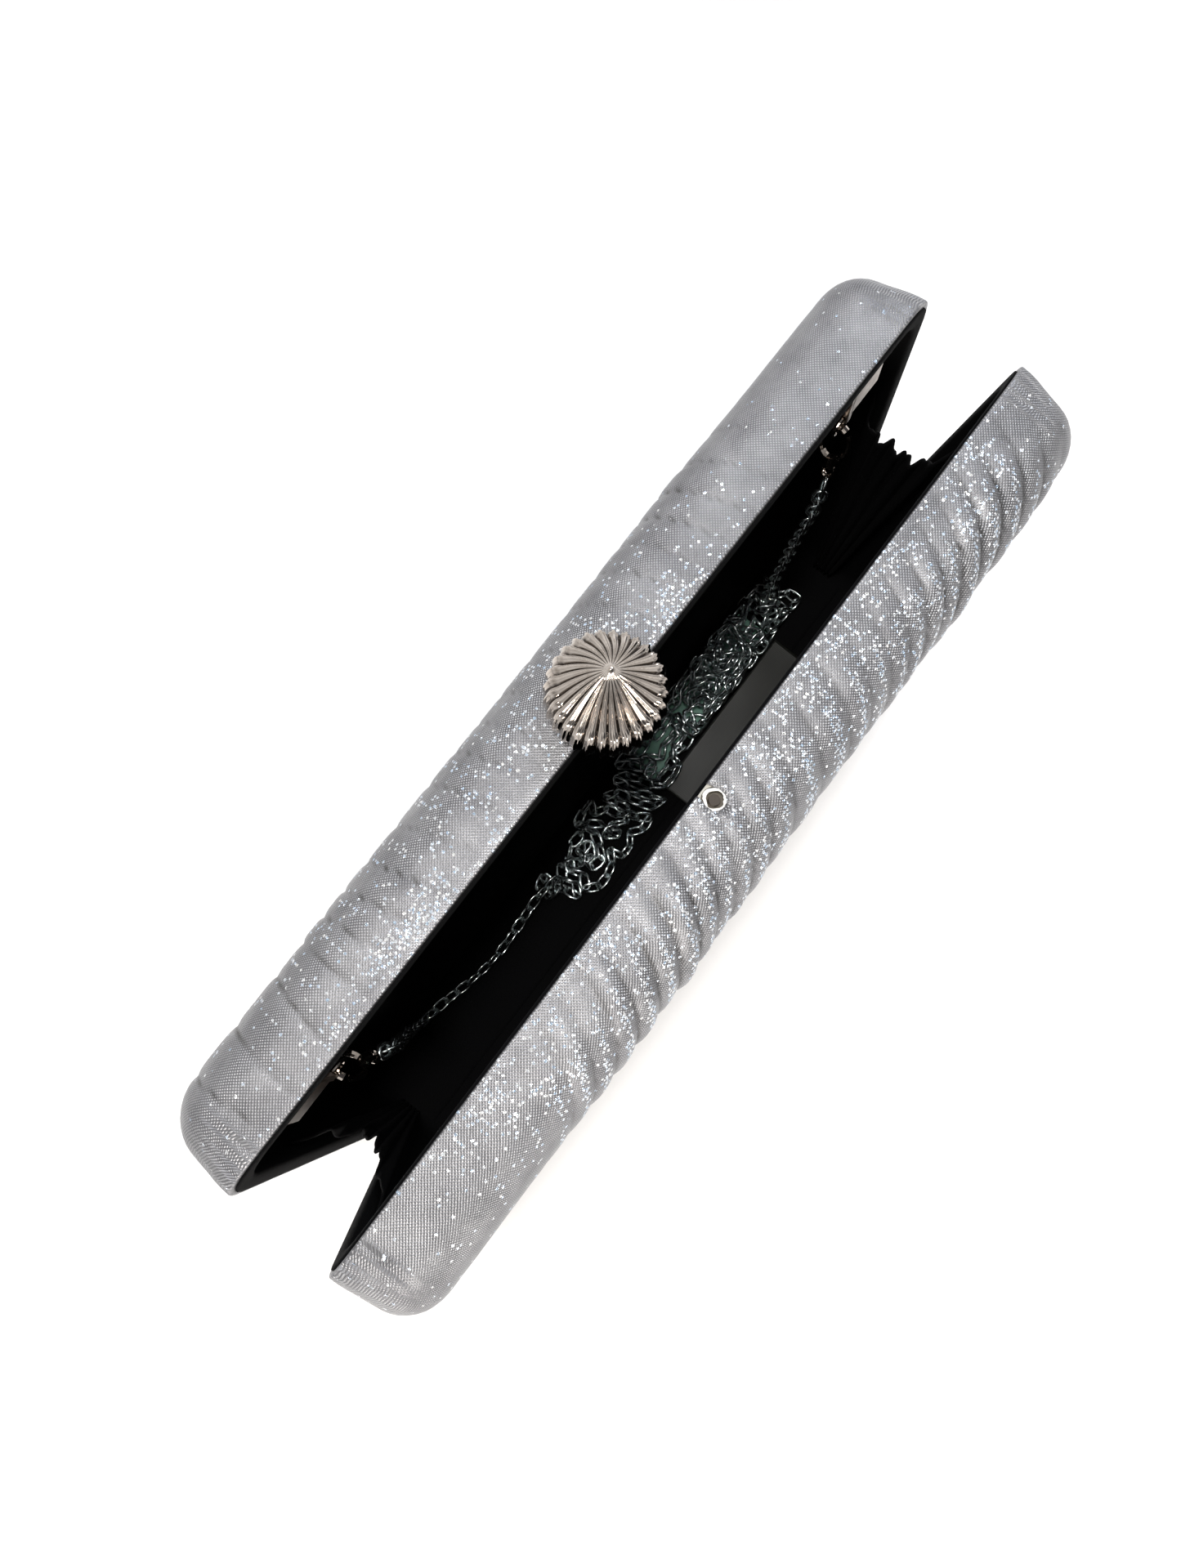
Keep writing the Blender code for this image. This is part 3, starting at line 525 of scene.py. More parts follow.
# ---- the two halves ----
@dataclass
class Tray:
    """The shape of one layer of a half: an open tray with soft outer edges."""

    low: Vector
    high: Vector
    corner: float
    edge: float
    mouth: float
    steps: Triple
    corner_steps: int = 8
    edge_steps: int = 10
    hinge_room_y: float = 2.1 * MM
    hinge_room_z: float = 2.4 * MM
    squareness: float = 2.0
    square_reach: float = 10.0 * MM

    def shape(self) -> BMesh:
        """Bevels a box, opens its mouth, slices it to small faces and cuts its bottom back at the hinge.

        Returns:
            The tray as one open sheet with its normals outward.
        """
        low = Vector((self.low.x, self.mouth, self.low.z))
        bm = bmesh.new()
        bmesh.ops.create_cube(bm, size=1.0)
        bmesh.ops.scale(bm, vec=self.high - low, verts=bm.verts)
        bmesh.ops.translate(bm, vec=(low + self.high) / 2, verts=bm.verts)
        corners = [e for e in bm.edges if abs((e.verts[0].co - e.verts[1].co).normalized().y) > 0.9]
        self.bevel(bm, corners, self.corner, self.corner_steps)
        outline = [e for e in bm.edges if all(v.co.y > self.high.y - 1e-6 for v in e.verts)]
        self.bevel(bm, outline, self.edge, self.edge_steps)
        mouth = [f for f in bm.faces if all(v.co.y < low.y + 1e-6 for v in f.verts)]
        bmesh.ops.delete(bm, geom=mouth, context="FACES")
        bmesh.ops.recalc_face_normals(bm, faces=bm.faces)
        for axis, step in enumerate(self.steps):
            self.slice(bm, axis, step)
        self.cut(bm, Vector((0, self.hinge_room_y, 0)), Vector((0, 1, 0)))
        self.cut(bm, Vector((0, 0, self.hinge_room_z)), Vector((0, 0, 1)))
        gone = [
            f
            for f in bm.faces
            if f.calc_center_median().y < self.hinge_room_y and f.calc_center_median().z < self.hinge_room_z
        ]
        bmesh.ops.delete(bm, geom=gone, context="FACES")
        bmesh.ops.remove_doubles(bm, verts=bm.verts, dist=0.04 * MM)
        for vert in bm.verts:
            share = 1.0 - smooth_step(0.0, self.square_reach, vert.co.y - self.mouth)
            vert.co = self.squared(vert.co, 2.0 + (self.squareness - 2.0) * share)
        bm.normal_update()
        return bm

    def core_of(self, point: Vector) -> Vector:
        """Finds the nearest point of the rectangle that the corner rounds are centred on.

        Args:
            point: A point of the tray.

        Returns:
            The nearest point, at the same distance from the mouth.
        """
        core_x = min(max(point.x, self.low.x + self.corner), self.high.x - self.corner)
        core_z = min(max(point.z, self.low.z + self.corner), self.high.z - self.corner)
        return Vector((core_x, point.y, core_z))

    def squared(self, point: Vector, power: float) -> Vector:
        """Pushes a point of a round corner out towards a square one.

        Args:
            point: The point.
            power: 2 keeps the corner round, and more makes it squarer.

        Returns:
            The moved point.
        """
        core = self.core_of(point)
        out = point - core
        if power <= 2.0 or out.length < 1e-7:
            return point
        along, rise = abs(out.x) / out.length, abs(out.z) / out.length
        return core + out / (along**power + rise**power) ** (1.0 / power)

    @staticmethod
    def bevel(bm: BMesh, edges: list, offset: float, segments: int) -> None:
        """Rounds edges of the box."""
        bmesh.ops.bevel(bm, geom=edges, offset=offset, segments=segments, profile=0.5, affect="EDGES", material=-1)

    @staticmethod
    def cut(bm: BMesh, point: Vector, normal: Vector) -> None:
        """Slices every face along one plane."""
        everything = bm.verts[:] + bm.edges[:] + bm.faces[:]
        bmesh.ops.bisect_plane(bm, geom=everything, plane_co=point, plane_no=normal, dist=0.02 * MM)

    def slice(self, bm: BMesh, axis: int, step: float) -> None:
        """Slices the tray along one axis at even steps.

        Args:
            bm: The tray.
            axis: 0, 1 or 2 for x, y or z.
            step: The spacing in metres.
        """
        first = self.mouth if axis == 1 else self.low[axis]
        last = self.high[axis] - (self.edge if axis == 1 else 0.0)
        count = int(round((last - first) / step))
        normal = Vector([1.0 if i == axis else 0.0 for i in range(3)])
        for i in range(1, count):
            self.cut(bm, normal * (first + (last - first) * i / count), normal)

    def inset(self, point: Vector, inset: float, y: float, power: float) -> Vector:
        """Moves a point of the mouth's outline inwards in the mouth's plane.

        Args:
            point: A point on the outline.
            inset: How far in from the outline it goes.
            y: Its new distance from the mouth's plane.
            power: How square its corner becomes, from 2.

        Returns:
            The moved point.
        """
        core = self.core_of(point)
        out = Vector((point.x - core.x, 0.0, point.z - core.z))
        moved = self.squared(Vector((core.x, y, core.z)) + out * ((self.corner - inset) / self.corner), power)
        return moved if point.z > self.hinge_room_z + NEAR else Vector((moved.x, y, point.z))

    def turn_in(self, bm: BMesh, folds: list[Triple]) -> None:
        """Turns the mouth's edge over, fold after fold.

        Args:
            bm: The tray.
            folds: Each fold's inset from the outline, its distance from the mouth's plane and its squareness.
        """
        outline = bm.verts.layers.float_vector.new("outline")
        for vert in bm.verts:
            vert[outline] = vert.co
        lip, foot = self.mouth + NEAR, self.hinge_room_z - NEAR
        edge = [e for e in bm.edges if e.is_boundary]
        rim = [e for e in edge if all(v.co.y < lip and v.co.z > foot for v in e.verts)]
        for inset, y, power in folds:
            grown = bmesh.ops.extrude_edge_only(bm, edges=rim)["geom"]
            rim = [g for g in grown if isinstance(g, bmesh.types.BMEdge)]
            for vert in [g for g in grown if isinstance(g, bmesh.types.BMVert)]:
                vert.co = self.inset(Vector(vert[outline]), inset, y, power)
        bm.verts.layers.float_vector.remove(bm.verts.layers.float_vector["outline"])


@dataclass(frozen=True)
class Fold:
    """One point of the gathered cloth: how far it stands out, how much painted shade darkens its fold valley, and how
    crowded its painted highlight flecks are.
    """

    out: float
    crease_shade: float
    glint: float


@dataclass
class Pleats:
    """How a cover's cloth is gathered into soft folds that start at its mouth."""

    pitch: float
    height: float
    sharpness: float
    sweep: float
    sweep_reach: float
    first: tuple[float, float]
    last: tuple[float, float]
    # The three glint values set how crowded the painted highlight flecks are on fold crests, near the mouth and
    # elsewhere.
    crest_glint: float
    rim_glint: float
    plain_glint: float
    glint_ends: tuple[float, float, float, float]
    glint_depth: float
    crease_depth: float
    seed: float
    wander: tuple[float, float] = (34 * MM, 60 * MM)
    fade: float = 26 * MM
    patch: tuple[float, float] = (8 * MM, 7 * MM)
    held_by: tuple[float, float] = (1.0 * MM, 9.0 * MM)
    crest: float = 0.56
    crest_width: float = 0.17

    def at(self, x: float, along: float) -> Fold:
        """Works out the fold at a point of the cloth.

        Args:
            x: The place along the bag.
            along: The distance down the cloth from the mouth.

        Returns:
            The cloth's shape there, with its painted shade in the fold valley and how crowded its painted highlight
            flecks are.
        """
        swept = x + self.sweep * (1.0 - math.exp(-((along / self.sweep_reach) ** 1.5)))
        wander = noise.noise(Vector((swept / self.wander[0], along / self.wander[1], self.seed)))
        phase = swept / self.pitch + 1.15 * wander
        index = math.floor(phase)
        share = phase - index
        tall = 0.74 + 0.26 * math.sin(index * 12.9898 + self.seed * 7.3)
        fade = 0.72 + 0.85 * noise.noise(Vector((index * 3.7, along / self.fade, self.seed + 5.0)))
        strength = tall * min(max(fade, 0.15), 1.0)
        spread = smooth_step(*self.first, x) * (1.0 - smooth_step(*self.last, x))
        held = 0.22 + 0.78 * smooth_step(*self.held_by, along)
        bow = 1.0 - abs(2.0 * share - 1.0) ** self.sharpness
        strength *= spread * held
        # Painted shade: a thin dark line along each fold's valley.
        narrow = max(1.0 - min(share, 1.0 - share) * self.pitch / self.crease_depth, 0.0)
        crease_shade = min(strength * 1.2, 1.0) * narrow**1.5
        return Fold(self.height * strength * bow, crease_shade, self.glint(x, along, share, spread))

    def glint(self, x: float, along: float, share: float, spread: float) -> float:
        """How crowded the painted highlight flecks are at a point, along the fold crests and in patches near the
        mouth.

        Args:
            x: The place along the bag.
            along: The distance down the cloth from the mouth.
            share: The place across the fold, from 0 to 1.
            spread: How strongly the cloth is gathered there.

        Returns:
            From 0 for none to 1 for all yarns.
        """
        start, full, fall, end = self.glint_ends
        here = smooth_step(start, full, x) * (1.0 - smooth_step(fall, end, x))
        crest = math.exp(-(((share - self.crest) / self.crest_width) ** 2)) * spread
        crest *= smooth_step(4 * MM, 10 * MM, along)
        crest *= 1.0 - 0.55 * smooth_step(26 * MM, 44 * MM, along)
        near_rim = math.exp(-((along / self.glint_depth) ** 2))
        spot = Vector((x / self.patch[0], along / self.patch[1], self.seed + 9.0))
        patch = 0.5 + 0.9 * noise.noise(spot)
        rim = near_rim * min(max(patch, 0.0), 1.0)
        return min(self.plain_glint + here * max(self.crest_glint * crest, self.rim_glint * rim), 1.0)


FRONT_PLEATS = Pleats(
    pitch=6.1 * MM, height=1.25 * MM, sharpness=2.6, sweep=21 * MM, sweep_reach=30 * MM, first=(-74 * MM, -46 * MM),
    last=(78 * MM, 96 * MM), crest_glint=0.96, rim_glint=0.76, plain_glint=0.20,
    glint_ends=(-100 * MM, -60 * MM, 70 * MM, 98 * MM), glint_depth=13 * MM, crease_depth=0.9 * MM, seed=3.0,
)
BACK_PLEATS = Pleats(
    pitch=7.8 * MM, height=0.62 * MM, sharpness=5.0, sweep=7 * MM, sweep_reach=40 * MM, first=(-99 * MM, -88 * MM),
    last=(34 * MM, 70 * MM), crest_glint=0.40, rim_glint=0.82, plain_glint=0.18,
    glint_ends=(-90 * MM, -55 * MM, 20 * MM, 46 * MM), glint_depth=13 * MM, crease_depth=0.36 * MM, seed=11.0,
)


@dataclass
class BagHalf:
    """One half of the bag: its pleated cover and its velvet lining."""

    half: Half
    pleats: Pleats
    slice_steps: Triple = (0.70 * MM, 1.7 * MM, 1.4 * MM)
    lining_steps: Triple = (3.0 * MM, 3.0 * MM, 3.0 * MM)
    corner: float = 10.0 * MM
    edge: float = 9.0 * MM
    cloth: float = 0.30 * MM
    lining_wall: float = 0.50 * MM
    turned_edge: float = 1.15 * MM
    square_mouth: float = 3.3
    hole_radius: float = 1.95 * MM

    def cover_tray(self) -> Tray:
        """The cover's outer shape, measured from its CAD layer."""
        low, high = self.half.box(f"{self.half.value}_cover")
        return Tray(low, high, self.corner, self.edge, 0.42 * MM, self.slice_steps, squareness=self.square_mouth)

    def build(self) -> None:
        """Builds and dresses both visible layers of the half."""
        self.cover()
        self.lining()

    def cloth_map(self, bm: BMesh, tray: Tray) -> None:
        """Lays the cloth's own flat coordinates over the tray, so the weave runs over its edges.

        Args:
            bm: The tray, before its pleats are raised.
            tray: Its sizes.
        """
        layer = bm.loops.layers.uv.new("cloth")
        for face in bm.faces:
            for loop in face.loops:
                point, facing = loop.vert.co, loop.vert.normal
                side, rise = abs(facing.x), abs(facing.z)
                total = max(side + rise, 1e-6)
                back = tray.high.y - point.y
                u = point.x + math.copysign(back, point.x) * side / total
                v = point.z + math.copysign(back, point.z - 0.5 * (tray.low.z + tray.high.z)) * rise / total
                loop[layer].uv = (u, v)

    def cover(self) -> None:
        """The silver cloth: pleated over the outside, turned over the mouth's edge and tucked under the lining."""
        tray = self.cover_tray()
        bm = tray.shape()
        self.cloth_map(bm, tray)
        if self.half is Half.FRONT:
            self.open_catch_hole(bm)
        bm.verts.layers.float.new("crease_shade")
        bm.verts.layers.float.new("glint")
        self.gather(bm, tray)
        tray.turn_in(bm, [(0.06 * MM, 0.20 * MM, 2), (0.30 * MM, 0.07 * MM, 2), (self.turned_edge, 0.09 * MM, 2)])
        name = f"{self.half.value}_pleated_cover"
        made = finish_piece(name, bm, LAME.material(), self.half.place())
        give_wall(made, self.cloth)
        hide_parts(f"{self.half.value}_cover")
        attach(made, self.half.body)

    def gather(self, bm: BMesh, tray: Tray) -> None:
        """Raises the folds and stores the painted shade of the fold valleys and the crowding of the painted highlight
        flecks.

        Args:
            bm: The cover's tray, with its vertex layers.
            tray: Its sizes.
        """
        crease_shade, glint = bm.verts.layers.float["crease_shade"], bm.verts.layers.float["glint"]
        bm.normal_update()
        moves = []
        for vert in bm.verts:
            point = vert.co
            along = max(point.y, 0.0) + max(tray.high.z - point.z, 0.0)
            fold = self.pleats.at(point.x * self.half.facing, along)
            flat = (1.0 - abs(vert.normal.x) ** 2) * smooth_step(-0.75, -0.05, vert.normal.z)
            crumple = noise.noise(point / (3.4 * MM)) * 0.05 * MM + noise.noise(point / (11 * MM)) * 0.10 * MM
            still = smooth_step(-0.75, -0.05, vert.normal.z)
            vert[crease_shade] = fold.crease_shade * flat
            vert[glint] = fold.glint
            moves.append((vert, vert.normal * (fold.out * flat + crumple * 0.8 * still)))
        for vert, move in moves:
            vert.co += move

    def open_catch_hole(self, bm: BMesh) -> None:
        """Cuts the round hole for the catch in the top wall.

        Args:
            bm: The front cover's tray.
        """
        low, high = self.half.box("catch_eyelet")
        middle = (low + high) / 2
        top = [f for f in bm.faces if abs(f.calc_center_median().z - high.z) < 1.2 * MM and f.normal.z > 0.9]
        gone = [f for f in top if (f.calc_center_median().xy - middle.xy).length < self.hole_radius]
        bmesh.ops.delete(bm, geom=gone, context="FACES")
        for vert in bm.verts:
            away = vert.co.xy - middle.xy
            if vert.is_boundary and vert.co.z > high.z - 2 * MM and away.length < 2 * self.hole_radius:
                spot = middle.xy + away.normalized() * self.hole_radius
                if vert.co.y > 0.6 * MM:
                    vert.co.x, vert.co.y = spot.x, max(spot.y, 0.5 * MM)

    def lining(self) -> None:
        """The velvet inside, turned over the board's edge to meet the silver cloth."""
        low, high = self.half.box(f"{self.half.value}_lining")
        inset = self.half.box(f"{self.half.value}_cover")[1].z - high.z
        tray = Tray(low, high, self.corner - inset, self.edge - inset, 0.42 * MM, self.lining_steps, 6, 6)
        bm = tray.shape()
        square = self.square_mouth
        outer = self.turned_edge - inset
        folds = [(-0.3 * MM, 0.30 * MM, 2), (-1.0 * MM, 0.22 * MM, 2.4), (outer + 0.5 * MM, 0.22 * MM, square * 0.8)]
        tray.turn_in(bm, [*folds, (outer - 0.1 * MM, 0.26 * MM, square)])
        made = finish_piece(f"{self.half.value}_velvet_lining", bm, VELVET.material(), self.half.place())
        give_wall(made, self.lining_wall)
        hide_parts(f"{self.half.value}_lining")
        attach(made, self.half.body)


# ---- soft pieces across the hinge ----
@dataclass
class Gusset:
    """A gathered end gusset of black cloth between the two halves, slack at its free top edge."""

    side: str
    dip: float
    area: float
    slack_power: float
    panels: int = 10
    cloth: float = 0.5 * MM
    rows: int = 48
    steps: int = 10
    head_room: float = 4.6 * MM
    side_reach: float = 1.3 * MM

    def build(self) -> None:
        """Folds a grid between the two walls, lets its top edge hang and blends it across the hinge."""
        node = f"gusset_{self.side}"
        low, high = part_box(node)
        outward = 1.0 if self.side == "right" else -1.0
        outer = max(abs(low.x), abs(high.x)) - 0.5 * MM
        depth = high.x - low.x - 1.0 * MM
        bottom, top = low.z + 0.4 * MM, high.z + self.head_room
        foot, head = 3.1 * MM, high.y - 0.3 * MM
        bm = bmesh.new()
        bmesh.ops.create_grid(bm, x_segments=self.panels * self.steps, y_segments=self.rows, size=1.0)
        for vert in bm.verts:
            across, rise = vert.co.x, (vert.co.y + 1) / 2
            edge = self.edge_height(across, bottom, top, outward)
            height = bottom + (edge - bottom) * rise
            half_width = foot + (head - foot) * (height - bottom) / (top - bottom)
            wander = noise.noise(Vector((across * 2.5, rise * 2.2, outward * 7)))
            fold = 0.5 - 0.5 * math.cos(math.pi * self.panels * (across + 1) / 2)
            fold = min(max(fold * (0.75 + 0.5 * wander), 0.0), 1.0) * (0.20 + 0.16 * rise)
            gather = 0.35 * MM * math.sin(34 * across + 3 * wander) * rise**5
            reach = outer + self.side_reach * smooth_step(0.82, 1.0, abs(across))
            vert.co = Vector((outward * (reach - depth * fold) + gather, half_width * across, height))
        bmesh.ops.recalc_face_normals(bm, faces=bm.faces)
        made = finish_piece(f"gathered_gusset_{self.side}", bm, VELVET.material())
        give_wall(made, self.cloth, 0.0)
        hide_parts(node)
        middle = (bottom + top) / 2
        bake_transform(made, "back_half", "front_half", start=(0, head, middle), end=(0, -head, middle))

    def edge_height(self, across: float, bottom: float, top: float, outward: float) -> float:
        """The height of the free top edge, held at the walls and slack between them.

        Args:
            across: -1 at the front wall, 1 at the back wall.
            bottom: The height of the gusset's foot.
            top: The height where the walls hold it.
            outward: The end's side, which sets its random ruffle.

        Returns:
            The edge's height there.
        """
        slack = 1.0 - abs(across - 0.06) ** self.slack_power
        ruffle = 0.30 * MM * math.sin(31 * across + 2.0 * math.sin(7 * across + outward))
        uneven = 1.2 * MM * noise.noise(Vector((across * 2.4, 4.0, outward * 5)))
        return max(top - self.dip * max(slack, 0.0) + ruffle + uneven, bottom + 20 * MM)


@dataclass
class HingeTape:
    """The velvet tape over the hinge barrel, long enough to close the slot at both ends."""

    cloth: float = 0.4 * MM
    reach: float = 94.5 * MM

    def build(self) -> None:
        """Lays a soft strip over the barrel, its long edges on the two floors."""
        low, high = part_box("hinge_tape")
        bm = bmesh.new()
        bmesh.ops.create_grid(bm, x_segments=140, y_segments=16, size=1.0)
        for vert in bm.verts:
            x, y = vert.co.x * self.reach, vert.co.y * high.y
            rise = 1.0 - abs(vert.co.y) ** 1.8
            soft = noise.noise(Vector((x / (9 * MM), y / (6 * MM), 4.0))) * 0.10 * MM
            vert.co = Vector((x, y, low.z + 0.35 * MM + (high.z - low.z - 0.6 * MM) * rise + soft * rise))
        bmesh.ops.recalc_face_normals(bm, faces=bm.faces)
        made = finish_piece("velvet_hinge_tape", bm, VELVET.material())
        give_wall(made, self.cloth, 0.0)
        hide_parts("hinge_tape")
        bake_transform(made, "back_half", "front_half", start=(0, 4 * MM, low.z), end=(0, -4 * MM, low.z))


@dataclass
class Label:
    """One leaf of the plain satin label on the bag's floor; the front leaf's darker satin is painted shade."""

    half: Half
    finish: Satin
    cloth: float = 0.25 * MM
    tucked: float = 1.5 * MM

    def build(self) -> None:
        """Lays a slightly wavy ribbon on the floor of its half."""
        node = f"label_{self.half.value}"
        low, high = self.half.box(node)
        bm = bmesh.new()
        bmesh.ops.create_grid(bm, x_segments=60, y_segments=16, size=1.0)
        size, middle = (high - low) / 2, (high + low) / 2
        for vert in bm.verts:
            x, y = middle.x + vert.co.x * size.x, middle.y + vert.co.y * size.y
            wave = noise.noise(Vector((x / (13 * MM), y / (9 * MM), 2.0)))
            curl = 0.18 * MM * abs(vert.co.x) ** 6
            vert.co = Vector((x, y, low.z + 0.12 * MM + 0.12 * MM * wave + curl))
        bmesh.ops.recalc_face_normals(bm, faces=bm.faces)
        made = finish_piece(f"satin_label_{self.half.value}", bm, self.finish.material(), self.half.place())
        give_wall(made, self.cloth, 0.0)
        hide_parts(node)
        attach(made, self.half.body)


# ---- knob and catch ----
@dataclass
class FlutedKnob:
    """The cast knob: a pointed dome of sharp flutes that deepen from its tip to its scalloped skirt."""

    flutes: int = 28
    steps_per_flute: int = 14
    groove: float = 1.15 * MM
    ridge: float = 0.30 * MM
    tip_radius: float = 0.9 * MM
    skirt: float = 2.8 * MM
    brow: float = 0.54
    brow_reach: float = 0.84
    lean: tuple[float, float] = (1.9 * MM, -0.1 * MM)
    ribs_per_flute: int = 3
    swirl: float = 0.16

    def build(self) -> None:
        """Spins the dome's outline and presses the flutes into it."""
        low, high = Half.BACK.box("knob")
        radius, height = (high.x - low.x) / 2, high.z - low.z
        middle = Vector(((low.x + high.x) / 2, (low.y + high.y) / 2, low.z))
        bm = bmesh.new()
        verts = [bm.verts.new((r, 0.0, z)) for r, z in self.outline(radius, height)]
        edges = [bm.edges.new(pair) for pair in zip(verts, verts[1:])]
        bmesh.ops.spin(
            bm, geom=verts + edges, cent=(0, 0, 0), axis=(0, 0, 1), angle=2 * math.pi,
            steps=self.flutes * self.steps_per_flute, use_merge=True,
        )
        bmesh.ops.remove_doubles(bm, verts=bm.verts, dist=WELD)
        groove_shade = bm.verts.layers.float.new("groove_shade")
        for vert in bm.verts:
            vert.co, vert[groove_shade] = self.press(vert.co, radius, height)
        bmesh.ops.recalc_face_normals(bm, faces=bm.faces)
        made = finish_piece("fluted_knob", bm, CAST_NICKEL.material(), Half.BACK.place() @ Matrix.Translation(middle))
        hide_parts("knob")
        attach(made, "back_half")

    def outline(self, radius: float, height: float) -> list[tuple[float, float]]:
        """The dome's outline from its tip to the middle of its underside.

        Args:
            radius: The knob's radius.
            height: Its height.

        Returns:
            Radius and height of each point.
        """
        outline = [(0.0, height), (0.40 * MM, height - 0.08 * MM), (self.tip_radius, height - 0.42 * MM)]
        shoulder, brow, reach = height - 0.9 * MM, height * self.brow, radius * self.brow_reach
        for i in range(1, 19):
            share = i / 18
            across = self.tip_radius + (reach - self.tip_radius) * share
            outline.append((across, shoulder - (shoulder - brow) * share**1.2))
        for i in range(1, 10):
            angle = math.radians(10 * i)
            across = reach + (radius - reach) * math.sin(angle)
            outline.append((across, self.skirt + (brow - self.skirt) * math.cos(angle) ** 0.9))
        skirt = [(radius, 1.9 * MM), (radius * 0.975, 0.9 * MM), (radius * 0.92, 0.25 * MM), (radius * 0.86, 0.0)]
        return outline + skirt + [(radius * 0.5, 0.0), (0.0, 0.0)]

    def press(self, point: Vector, radius: float, height: float) -> tuple[Vector, float]:
        """Presses one point of the dome into its flute, and leans the tip as the casting does.

        Args:
            point: The point on the plain dome.
            radius: The knob's radius.
            height: Its height.

        Returns:
            The point's new place, and how much painted shade darkens it in its groove and rib hollows, from 0 to 1.
        """
        reach = point.xy.length
        leaning = Vector((*self.lean, 0.0)) * smooth_step(0.15, 1.0, point.z / height)
        if reach < 0.3 * MM or (point.z < 0.05 * MM and reach < radius * 0.6):
            return point + leaning, 0.0
        angle = math.atan2(point.y, point.x)
        swirl = angle + self.swirl * (1 - reach / radius) + 0.006 * math.sin(5 * angle)
        phase = swirl / (2 * math.pi) * self.flutes
        index = math.floor(phase + 1e-6)
        share = phase - index
        uneven = 0.80 + 0.20 * math.sin(index * 4.1)
        near = reach / radius
        lobe = 1.0 - abs(2 * share - 1) ** 1.5
        rib = 1.0 - abs(math.sin(math.pi * self.ribs_per_flute * share)) ** 0.8
        ribs = self.ridge * rib * smooth_step(0.10, 0.4, near)
        depth = self.groove * uneven * (0.10 + 0.90 * smooth_step(0.05, 1.0, near))
        tip_fade = smooth_step(0.3 * MM, 1.8 * MM, reach)
        press = (depth * (1.0 - lobe) + ribs) * tip_fade
        steep = smooth_step(0.45, 1.0, near)
        flat_way = Vector((math.cos(angle), math.sin(angle), 0.0))
        way = (flat_way * (0.30 + 0.70 * steep) + Vector((0, 0, 1)) * (1.0 - 0.9 * steep)).normalized()
        # Painted shade: darkest deep in each groove and in the ribs' hollows.
        dark = abs(2 * share - 1) ** 3.6 * tip_fade + 0.35 * ribs / self.ridge * tip_fade
        return point - way * press + leaning, min(dark, 1.0)


@dataclass
class Catch:
    """The closing point in the front half: a raw round hole whose cut edge shows its fused backing."""

    tube: float = 0.30 * MM

    def build(self) -> None:
        """Spins a soft ring and roughens it like cut cloth."""
        low, high = Half.FRONT.box("catch_eyelet")
        middle = Vector(((low.x + high.x) / 2, (low.y + high.y) / 2, high.z))
        reach = (high.x - low.x) / 2 - 0.15 * MM
        turn = Matrix.Translation((reach, 0, 0)) @ Euler((math.pi / 2, 0, 0)).to_matrix().to_4x4()
        bm = spun_ring(self.tube, 12, turn, (0, 0, 1), 72)
        for vert in bm.verts:
            angle = math.atan2(vert.co.y, vert.co.x)
            square = 1.0 + 0.06 * math.cos(4 * angle)
            fray = noise.noise(vert.co / (0.45 * MM)) * 0.16 * MM
            vert.co = Vector((vert.co.x * square + fray, vert.co.y * square - fray, vert.co.z * 0.6 + 0.5 * fray))
        bmesh.ops.recalc_face_normals(bm, faces=bm.faces)
        made = finish_piece("catch_ring", bm, INTERFACING.material(), Half.FRONT.place() @ Matrix.Translation(middle))
        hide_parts("catch_eyelet")
        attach(made, "front_half")


# ---- shoulder chain ----
FITTINGS = [f"{kind}_{side}" for kind in ("clasp", "clasp_gate", "link") for side in ("right", "left")]
RIGHT_RUN = [
    (0.0711, 0.0073, 0.0963), (0.0704, 0.0069, 0.0942), (0.0701, 0.0066, 0.0900), (0.0708, 0.0065, 0.0780),
    (0.0720, 0.0071, 0.0630), (0.0731, 0.0074, 0.0480), (0.0739, 0.0076, 0.0340), (0.0743, 0.0076, 0.0206),
]
LEFT_RUN = [
    (-0.0711, 0.0073, 0.0963), (-0.0704, 0.0069, 0.0942), (-0.0702, 0.0068, 0.0880), (-0.0712, 0.0074, 0.0740),
    (-0.0724, 0.0086, 0.0600), (-0.0736, 0.0099, 0.0460), (-0.0739, 0.0103, 0.0300), (-0.0734, 0.0106, 0.0170),
    (-0.0700, 0.0104, 0.0097), (-0.0640, 0.0092, 0.0082), (-0.0560, 0.0072, 0.0081), (-0.0470, 0.0062, 0.0082),
    (-0.0380, 0.0066, 0.0084), (-0.0290, 0.0070, 0.0098), (-0.0196, 0.0056, 0.0120),
]


def even_points(route: list[Triple], step: float) -> np.ndarray:
    """Walks a smooth line through given points at even steps.

    Args:
        route: The points that the line passes.
        step: The distance from each new point to the next.

    Returns:
        The points as rows.
    """
    keys = np.array([route[0], *route, route[-1]])
    a, b, c, d = (keys[i : len(keys) - 3 + i, None] for i in range(4))
    share = np.linspace(0.0, 1.0, 40, endpoint=False)[None, :, None]
    curve = 2 * b + (c - a) * share + (2 * a - 5 * b + 4 * c - d) * share**2 + (3 * b - a - 3 * c + d) * share**3
    fine = np.concatenate([0.5 * curve.reshape(-1, 3), keys[-1:]])
    lengths = np.concatenate([[0.0], np.cumsum(np.linalg.norm(np.diff(fine, axis=0), axis=1))])
    wanted = np.arange(0.0, lengths[-1], step)
    return np.stack([np.interp(wanted, lengths, fine[:, k]) for k in range(3)], axis=1)


